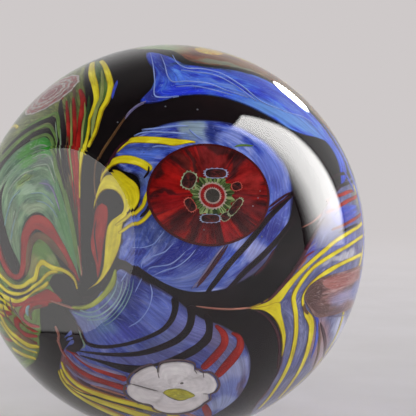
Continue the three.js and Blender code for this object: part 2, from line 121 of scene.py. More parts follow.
def on_ball(chart, points, radius):
    """Points of a map, (n, 2), on a sphere about the ball's middle."""
    arc = np.radians(np.hypot(points[:, 0], points[:, 1]))
    share = np.radians(np.where(arc > 1e-9, np.sin(arc) / np.maximum(arc, 1e-9), 1.0))
    local = np.column_stack([points[:, 0] * share, np.cos(arc), points[:, 1] * share])
    return local @ chart * radius + np.array(CENTRE)


def smooth_line(points, shares):
    """Points at those shares of a centripetal Catmull-Rom curve through the given ones, and its length."""
    p = np.array([list(q) + [0] * (3 - len(q)) for q in points], float)
    p = np.vstack([2 * p[0] - p[1], p, 2 * p[-1] - p[-2]])
    gap = np.linalg.norm(np.diff(p, axis=0), axis=1) ** 0.5
    t = np.linspace(0, 1, LINE_STEPS, endpoint=False)[:, None]
    dense = []
    for i in range(1, len(p) - 2):
        before, here, after = gap[i - 1], gap[i], gap[i + 1]
        step = (p[i + 1] - p[i]) / here
        leave = (p[i] - p[i - 1]) / before - (p[i + 1] - p[i - 1]) / (before + here) + step
        reach = step - (p[i + 2] - p[i]) / (here + after) + (p[i + 2] - p[i + 1]) / after
        leave, reach = leave * here, reach * here
        dense.append(p[i] + leave * t + (3 * (p[i + 1] - p[i]) - 2 * leave - reach) * t ** 2
                     + (2 * (p[i] - p[i + 1]) + leave + reach) * t ** 3)
    dense = np.vstack(dense + [p[-2:-1]])
    walked = np.concatenate([[0], np.cumsum(np.linalg.norm(np.diff(dense, axis=0), axis=1))])
    wanted = np.asarray(shares) * walked[-1]
    return np.column_stack([np.interp(wanted, walked, dense[:, k]) for k in range(3)]), walked[-1]


def smooth_loop(points):
    """A closed Catmull-Rom curve through the points, ending where it starts."""
    p = np.array(points, float)
    t = np.linspace(0, 1, LOOP_STEPS, endpoint=False)[:, None, None]
    before, after, beyond = np.roll(p, 1, 0), np.roll(p, -1, 0), np.roll(p, -2, 0)
    curve = 0.5 * (2 * p + (after - before) * t + (2 * before - 5 * p + 4 * after - beyond) * t ** 2
                   + (3 * p - before - 3 * after + beyond) * t ** 3)
    loop = curve.transpose(1, 0, 2).reshape(-1, 2)
    return np.vstack([loop, loop[:1]])


# ---- Meshes and pieces -----------------------------------------------------------------------
def mesh_from(name, edit):
    """The mesh that an edit ends in."""
    mesh = bpy.data.meshes.new(name)
    edit.to_mesh(mesh)
    edit.free()
    return mesh


def put_in_scene(name, mesh, material):
    """A new object with that mesh and material."""
    mesh.materials.append(material)
    made = bpy.data.objects.new(name, mesh)
    bpy.context.scene.collection.objects.link(made)
    return made


def finish_piece(name, mesh, material, nodes=()):
    """A piece of the paperweight that stands for those nodes of the CAD, if any."""
    piece = put_in_scene(name, mesh, material)
    if nodes:
        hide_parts(*nodes)
    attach(piece, "root")
    return piece


# ---- Closed shells of glass on the ball ----------------------------------------------------
def shell(chart, grid, flow, edge, outer, closed=False):
    """A closed slab over a grid of map points, (m, n, 2), as (vertices, faces, flow, map, edge).

    flow is the place along and across the piece, and edge is how far inside its edge it is."""
    m, n = grid.shape[:2]
    flat = grid.reshape(-1, 2)
    index = np.arange(m * n).reshape(m, n)
    a, b, c, d = index[:-1, :-1], index[1:, :-1], index[1:, 1:], index[:-1, 1:]
    top = np.stack([a, b, c, d], -1).reshape(-1, 4)
    faces = [top, top[:, ::-1] + m * n]
    rims = [index[:, 0], index[:, -1]] + ([] if closed else [index[0], index[-1]])
    for rim in rims:
        faces.append(np.stack([rim[:-1], rim[1:], rim[1:] + m * n, rim[:-1] + m * n], -1))
    vertices = np.vstack([on_ball(chart, flat, outer), on_ball(chart, flat, outer - DEPTH)])
    inward = np.column_stack([edge.reshape(-1), np.zeros(m * n)])
    layers = [np.tile(layer, (2, 1)) for layer in (flow.reshape(-1, 2), flat, inward)]
    return vertices, np.vstack(faces), *layers


def make_object(name, shells, material, nodes=()):
    """One piece out of shells, with their flow, map and edge coordinates as UV layers."""
    start = np.cumsum([0] + [len(s[0]) for s in shells])
    vertices = np.vstack([s[0] for s in shells])
    faces = np.vstack([s[1] + k for s, k in zip(shells, start)])
    mesh = bpy.data.meshes.new(name)
    mesh.from_pydata(vertices.tolist(), [], faces.tolist())
    for layer, column in (("flow", 2), ("map", 3), ("edge", 4)):
        values = np.vstack([s[column] for s in shells])[faces.reshape(-1)]
        mesh.uv_layers.new(name=layer).data.foreach_set("uv", values.astype(np.float32).ravel())
    edit = bmesh.new()
    edit.from_mesh(mesh)
    bmesh.ops.remove_doubles(edit, verts=edit.verts, dist=1e-6)
    bmesh.ops.recalc_face_normals(edit, faces=edit.faces)
    edit.to_mesh(mesh)
    edit.free()
    mesh.shade_smooth()
    mesh.set_sharp_from_angle(angle=GLASS_CREASE)
    return finish_piece(name, mesh, material, nodes)


def field_shell(chart, side_a, side_b, outer, tip=0.12, blunt=0.35):
    """A sheet of glass between two sides that run along its flow.

    It narrows over the share tip of its length at each end, down to the share blunt of its width."""
    length = max(smooth_line(side, (0, 1))[1] for side in (side_a, side_b))
    u = np.linspace(0, 1, max(16, round(length)))
    a, b = smooth_line(side_a, u)[0][:, :2], smooth_line(side_b, u)[0][:, :2]
    width = np.linalg.norm(a - b, axis=1)[:, None]
    reach = np.minimum(np.minimum(u, 1 - u) / tip, 1)
    narrow = np.sqrt(np.maximum(1 - (1 - reach) ** 2, blunt ** 2))[:, None]
    v = np.linspace(-0.5, 0.5, max(5, round(width.max() / 1.4)))[None, :]
    share = v * narrow + 0.5
    grid = a[:, None] * (1 - share[..., None]) + b[:, None] * share[..., None]
    flow = np.stack(np.broadcast_arrays((u * length)[:, None], share * width.mean()), -1)
    edge = np.minimum((0.5 - np.abs(v)) * width * narrow, (np.minimum(u, 1 - u) * length)[:, None])
    return shell(chart, grid, flow, edge, outer)


def line_shell(chart, points, outer, tapered=False):
    """A line of glass whose width is the third number of its points, with round or drawn-out ends."""
    length = smooth_line(points, (0, 1))[1]
    u = 0.5 - 0.5 * np.cos(np.linspace(0, math.pi, max(18, round(length / 0.55))))
    line = smooth_line(points, u)[0]
    width = line[:, 2]
    if tapered:
        width = width * (1 - np.abs(2 * u - 1) ** 5)
    else:
        end = np.minimum(2 * np.minimum(u, 1 - u) * length / np.maximum(width, 1e-6), 1)
        width = width * np.sqrt(1 - (1 - end) ** 2)
    tangent = np.gradient(line[:, :2], axis=0)
    tangent /= np.maximum(np.linalg.norm(tangent, axis=1), 1e-9)[:, None]
    side = np.column_stack([-tangent[:, 1], tangent[:, 0]]) * width[:, None]
    v = np.linspace(-0.5, 0.5, max(3, round(width.max()) + 3))[None, :]
    grid = line[:, None, :2] + side[:, None] * v[..., None]
    flow = np.stack(np.broadcast_arrays((u * length)[:, None], v * width[:, None]), -1)
    return shell(chart, grid, flow, (0.5 - np.abs(v)) * width[:, None], outer)


def branch_shell(chart, branch, outer):
    """A line of [x, y, width] points, or a sheet between the two sides of a tuple."""
    if isinstance(branch, tuple):
        return field_shell(chart, *branch, outer=outer, tip=0.06, blunt=0.0)
    return line_shell(chart, branch, outer)


def ring_shell(chart, at, inner, outer_share, lobes=0, depth=0.0, outer=MURRINA, phase=0.0, square=2.0):
    """A ring or slice of cane between two shares of its size, at (x, y, half width, half height, turn).

    Its outer edge has that many lobes, each cut in by twice depth. Square above 2 makes it boxy."""
    x, y, half_width, half_height, turn = at
    angle = np.linspace(0, 2 * math.pi, 145 if lobes < 20 else 289)[:, None]
    rings = max(3, round((outer_share - inner) * half_width / 0.8) + 2)
    share = np.linspace(inner, outer_share, rings)[None, :]
    middle = (inner + outer_share) / 2
    growth = np.clip((share - middle) / max(outer_share - middle, 1e-9), 0, 1)
    wave = 1 - depth * growth * (1 + np.cos(lobes * (angle + phase)))
    boxy = (np.abs(np.cos(angle)) ** square + np.abs(np.sin(angle)) ** square) ** (-1 / square)
    local = np.stack([np.cos(angle) * half_width * share * wave * boxy,
                      np.sin(angle) * half_height * share * wave * boxy], -1)
    c, s = math.cos(math.radians(turn)), math.sin(math.radians(turn))
    grid = local @ np.array([[c, s], [-s, c]]) + np.array([x, y])
    flow = np.stack(np.broadcast_arrays(angle / (2 * math.pi) * 60, share * half_width), -1)
    edge = np.broadcast_to((outer_share - share) * half_width, grid.shape[:2])
    return shell(chart, grid, flow, edge, outer, closed=True)


def slice_shell(chart, outline, inner=0.0, outer=MURRINA, swell=1.0):
    """A slice of cane inside a closed outline, or with inner above 0 the ring along it."""
    loop = smooth_loop(outline)
    middle = loop[:-1].mean(axis=0)
    reach = np.linalg.norm(loop - middle, axis=1)[:, None] * swell
    share = np.linspace(inner, 1, max(3, round(reach.max() * (1 - inner) / 0.9) + 2))[None, :]
    grid = middle + (loop - middle)[:, None] * share[..., None] * swell
    angle = np.linspace(0, 60, len(loop))[:, None]
    flow = np.stack(np.broadcast_arrays(angle, share * reach.mean()), -1)
    return shell(chart, grid, flow, (1 - share) * reach, outer, closed=True)


# ---- Materials ------------------------------------------------------------------------------
def tone(red, green, blue):
    """A display colour, 0 to 255, as the linear colour that a shader takes."""
    linear = [c / 255 / 12.92 if c <= 10 else ((c / 255 + 0.055) / 1.055) ** 2.4 for c in (red, green, blue)]
    return (*linear, 1.0)


class Shader:
    """A material's nodes, made one call at a time."""

    def __init__(self, name):
        self.material = bpy.data.materials.new(name)
        self.material.use_nodes = True
        self.tree = self.material.node_tree
        self.surface = self.tree.nodes["Principled BSDF"]
        self.wandered = None

    def add(self, kind, inputs=(), **settings):
        made = self.tree.nodes.new(kind)
        for key, value in settings.items():
            setattr(made, key, value)
        for key, value in dict(inputs).items():
            if isinstance(value, bpy.types.NodeSocket):
                self.tree.links.new(value, made.inputs[key])
            else:
                made.inputs[key].default_value = value
        return made

    def layer(self, name):
        return self.add("ShaderNodeUVMap", uv_map=name).outputs["UV"]

    def scaled(self, vector, x, y, shift=(0, 0, 0)):
        inputs = {"Vector": vector, "Scale": (x, y, 1), "Location": shift}
        return self.add("ShaderNodeMapping", inputs).outputs[0]

    def noise(self, vector, detail=4.0, roughness=0.55, distortion=0.0, scale=1.0):
        inputs = {"Vector": vector, "Scale": scale, "Detail": detail, "Roughness": roughness,
                  "Distortion": distortion}
        return self.add("ShaderNodeTexNoise", inputs).outputs["Fac"]

    def ramp(self, fac, stops):
        made = self.add("ShaderNodeValToRGB", {"Fac": fac})
        elements = made.color_ramp.elements
        while len(elements) < len(stops):
            elements.new(0.5)
        for element, (place, colour) in zip(elements, stops):
            element.position = place
            element.color = colour
        return made.outputs["Color"]

    def mix(self, fac, a, b, blend="MIX"):
        made = self.add("ShaderNodeMix", data_type="RGBA", blend_type=blend)
        for socket, value in ((made.inputs[0], fac), (made.inputs[6], a), (made.inputs[7], b)):
            if isinstance(value, bpy.types.NodeSocket):
                self.tree.links.new(value, socket)
            else:
                socket.default_value = value
        return made.outputs[2]

    def math(self, operation, a, b):
        return self.add("ShaderNodeMath", {0: a, 1: b}, operation=operation).outputs[0]

    def remap(self, value, low, high, to_low, to_high, smooth=True):
        return self.add("ShaderNodeMapRange", {"Value": value, "From Min": low, "From Max": high,
                                               "To Min": to_low, "To Max": to_high},
                        interpolation_type="SMOOTHSTEP" if smooth else "LINEAR").outputs[0]

    def wander(self):
        """The map's place pushed about by a slow noise, so that spots get uneven edges."""
        if self.wandered is None:
            slow = self.add("ShaderNodeTexNoise", {"Vector": self.layer("map"), "Scale": WANDER_SCALE,
                                                   "Detail": 3.0})
            moved = self.add("ShaderNodeVectorMath", {0: slow.outputs["Color"], 1: (-0.5, -0.5, 0)},
                             operation="ADD")
            pushed = self.add("ShaderNodeVectorMath", {0: moved.outputs[0], 3: WANDER_REACH},
                              operation="SCALE")
            placed = self.add("ShaderNodeVectorMath", {0: self.layer("map"), 1: pushed.outputs[0]},
                              operation="ADD")
            self.wandered = placed.outputs[0]
        return self.wandered

    def spot(self, x, y, half_width, half_height, turn):
        """1 inside an ellipse of the map and 0 outside, with a soft edge."""
        near = self.add("ShaderNodeMapping", {"Vector": self.wander(), "Location": (x, y, 0),
                                              "Rotation": (0, 0, math.radians(turn)),
                                              "Scale": (half_width, half_height, 1)}, vector_type="TEXTURE")
        flat = self.add("ShaderNodeVectorMath", {0: near.outputs[0], 1: (1, 1, 0)}, operation="MULTIPLY")
        far = self.add("ShaderNodeVectorMath", {0: flat.outputs[0]}, operation="LENGTH").outputs["Value"]
        return self.remap(far, 1 - SPOT_SOFTNESS, 1 + SPOT_SOFTNESS, 1.0, 0.0)

    def finish(self, colour, roughness=0.35):
        self.tree.links.new(colour, self.surface.inputs["Base Color"])
        self.surface.inputs["Roughness"].default_value = roughness
        self.surface.inputs["Specular IOR Level"].default_value = 0.0
        return self.material


def marbled(name, tones, along=16.0, across=1.7, contrast=1.0, spots=(), fine=0.3, seed=0.0,
            hairs=None, rim=None):
    """Glass drawn out along its flow, in streaks of about along by across degrees.

    tones run from dark to light. Each spot is (x, y, half width, half height, turn, strength, colour).
    fine is how much the fine streaks lighten and darken it. hairs, (strength, colour), are thin lines
    that wander along the flow. rim, (width, strength, colour), is another colour along its edge."""
    shader = Shader(name)
    flow = shader.layer("flow")
    drawn_out = shader.scaled(flow, 1 / along, 1 / across / 2, (seed, seed * 2, 0))
    broad = shader.noise(drawn_out, 5, 0.6, 0.4)
    spread = RAMP_SPREAD / contrast
    stops = [(0.5 + spread * (2 * i / (len(tones) - 1) - 1), tone(*t)) for i, t in enumerate(tones)]
    colour = shader.ramp(broad, stops)
    for x, y, half_width, half_height, turn, strength, shade in spots:
        mask = shader.math("MULTIPLY", shader.spot(x, y, half_width, half_height, turn), strength)
        colour = shader.mix(mask, colour, tone(*shade))
    thin_streaks = shader.scaled(flow, 1 / along / STREAK_PULL, 1 / across * STREAK_PULL, (seed * 3, seed, 0))
    streak = shader.noise(thin_streaks, 4, 0.6)
    lift = shader.remap(streak, 0.34, 0.66, 1 - fine, 1 + fine, smooth=False)
    grey = shader.add("ShaderNodeCombineColor", {0: lift, 1: lift, 2: lift}).outputs[0]
    colour = shader.mix(1.0, colour, grey, "MULTIPLY")
    if hairs:
        strength, shade = hairs
        hair_flow = shader.scaled(flow, 1 / along / HAIR_STRETCH, 1 / HAIR_GAP, (4 + seed, seed, 0))
        drawn = shader.noise(hair_flow, 1.5, 0.4, 0.8)
        folded = shader.math("PINGPONG", shader.math("MULTIPLY", drawn, HAIR_FOLDS), 0.5)
        fading = shader.remap(streak, 0.42, 0.6, 0.15 * strength, strength)
        thin = shader.math("MULTIPLY", shader.remap(folded, 0.02, 0.13, 1.0, 0.0), fading)
        colour = shader.mix(thin, colour, tone(*shade))
    if rim:
        width, strength, shade = rim
        inward = shader.add("ShaderNodeSeparateXYZ", {0: shader.layer("edge")}).outputs[0]
        uneven = shader.math("ADD", inward, shader.remap(broad, 0.35, 0.65, -0.4 * width, 0.4 * width, False))
        colour = shader.mix(shader.remap(uneven, 0.0, width, strength, 0.0), colour, tone(*shade))
    return shader.finish(colour)


def pulled(name, tones, fine=0.14, rim=None):
    """One colour of pulled glass, a little uneven along it."""
    return marbled(name, tones, along=9, across=1.6, fine=fine, contrast=0.8, rim=rim)


# ---- Crystal ---------------------------------------------------------------------------------
def crystal_material():
    shader = Shader("clear_crystal")
    surface = shader.surface
    surface.inputs["Base Color"].default_value = (1, 1, 1, 1)
    surface.inputs["Roughness"].default_value = 0.0
    surface.inputs["IOR"].default_value = 1.52
    surface.inputs["Transmission Weight"].default_value = 1.0
    return shader.material


def crystal_body():
    """The gather around it all, turned about the window's axis, with the foot ground off below."""
    window_angle = math.asin(WINDOW_RADIUS / BALL_RADIUS)
    flat = BALL_RADIUS * math.cos(window_angle)
    rings = [(WINDOW_RADIUS * k / WINDOW_RINGS, flat) for k in range(1, WINDOW_RINGS)]
    rings.append((WINDOW_RADIUS - CHAMFER, flat))
    start = window_angle + CHAMFER / BALL_RADIUS
    sweep = [start + (math.pi - start) * k / BALL_RINGS for k in range(BALL_RINGS)]
    rings += [(BALL_RADIUS * math.sin(t), BALL_RADIUS * math.cos(t)) for t in sweep]
    turns = [2 * math.pi * k / BALL_SEGMENTS for k in range(BALL_SEGMENTS)]
    edit = bmesh.new()
    circles = [[edit.verts.new((r * math.cos(a), r * math.sin(a), h)) for a in turns] for r, h in rings]
    first, last = edit.verts.new((0, 0, flat)), edit.verts.new((0, 0, -BALL_RADIUS))
    for k in range(BALL_SEGMENTS):
        after = (k + 1) % BALL_SEGMENTS
        edit.faces.new((first, circles[0][k], circles[0][after]))
        edit.faces.new((last, circles[-1][after], circles[-1][k]))
        for near, far in zip(circles, circles[1:]):
            edit.faces.new((near[k], far[k], far[after], near[after]))
    pole = Vector(map_frame(-WINDOW_AZIMUTH, WINDOW_TILT)[1])
    turn = pole.to_track_quat("Z", "Y").to_matrix().to_4x4()
    edit.transform(Matrix.Translation(CENTRE) @ turn)
    cut = bmesh.ops.bisect_plane(edit, geom=edit.verts[:] + edit.edges[:] + edit.faces[:], dist=1e-8,
                                 plane_co=(0, 0, 0), plane_no=(0, 0, -1), clear_outer=True)
    rim = [e for e in cut["geom_cut"] if isinstance(e, bmesh.types.BMEdge)]
    bmesh.ops.contextual_create(edit, geom=rim)
    bmesh.ops.bevel(edit, geom=rim, offset=CHAMFER, segments=1, affect="EDGES")
    bmesh.ops.recalc_face_normals(edit, faces=edit.faces)
    mesh = mesh_from("crystal_body", edit)
    mesh.shade_smooth()
    mesh.set_sharp_from_angle(angle=CRYSTAL_CREASE)
    body = finish_piece("crystal_body", mesh, crystal_material(),
                        ("crystal_casing", "crystal_foot"))
    body.visible_shadow = False
    return body


def core():
    """The black ball of glass that shows between the colours."""
    shader = Shader("black_ground")
    place = shader.add("ShaderNodeTexCoord").outputs["Object"]
    cloud = shader.noise(place, 4, 0.6, 0.6, 55.0)
    colour = shader.ramp(cloud, [(0.35, tone(13, 10, 11)), (0.6, tone(20, 14, 16)), (0.8, tone(32, 19, 20))])
    material = shader.finish(colour)
    edit = bmesh.new()
    bmesh.ops.create_icosphere(edit, subdivisions=7, radius=CORE)
    edit.transform(Matrix.Translation(CENTRE))
    mesh = mesh_from("black_core_glass", edit)
    mesh.shade_smooth()
    return finish_piece("black_core_glass", mesh, material, ("black_core",))


# (x, y, radius in mm) on the front map.
BUBBLES = [(-1.5, 43.5, 0.16), (9, 42.5, 0.16), (-17, 38, 0.14), (25.4, 10.2, 0.12), (27.2, 12.8, 0.14),
           (28, 15, 0.1), (10, 2.8, 0.14), (28.2, 0.8, 0.16), (-8, 26.6, 0.1), (25.2, -39.2, 0.12)]


def air_bubbles():
    """Tiny seeds caught in the glass, as grey spheres whose tones are a painted reflection."""
    edit = bmesh.new()
    for x, y, radius in BUBBLES:
        place = on_ball(FRONT, np.array([[x, y]]), DETAIL + 0.1 * MM)[0]
        bmesh.ops.create_icosphere(edit, subdivisions=2, radius=radius * MM, matrix=Matrix.Translation(place))
    mesh = mesh_from("air_bubbles", edit)
    mesh.shade_smooth()
    # Painted reflection: air has no colour, so these greys stand in for the light that the bubbles catch.
    shader = Shader("bubble_painted_reflection")
    place = shader.add("ShaderNodeTexCoord").outputs["Object"]
    colour = shader.ramp(shader.noise(place, 2, 0.5, 0.0, 900.0),
                         [(0.3, tone(60, 60, 66)), (0.7, tone(150, 150, 158))])
    return finish_piece("air_bubbles", mesh, shader.finish(colour, 0.1))


# ---- Fields ----------------------------------------------------------------------------------
DARK = (24, 15, 20)
FRONT_BLUES = [(30, 36, 115), (46, 58, 148), (66, 88, 172), (104, 118, 186), (146, 156, 208)]
FOOT_BLUES = [(32, 38, 108), (52, 62, 136), (70, 84, 158), (90, 100, 166), (122, 128, 182)]
LAVENDERS = [(56, 60, 104), (76, 78, 120), (90, 94, 132), (122, 124, 164)]
FRONT_SIDES = (
    [[-19, 26], [-16, 22], [-10, 19], [-9, 13], [-10.4, 7.6], [-12.6, 4], [-13.6, 0.6], [-14.4, -3],
     [-14.8, -5.8], [-12.8, -6.4], [-10, -8]],
    [[-16, 29.5], [-8, 34.6], [4, 38.3], [18, 38.6], [29, 35], [37, 28], [40.6, 18], [39.2, 8], [34.6, -1],
     [28.4, -9.2], [24, -12], [17, -15.2], [6, -15.8], [0, -14], [-4.6, -11.4], [-9.2, -8.6]])
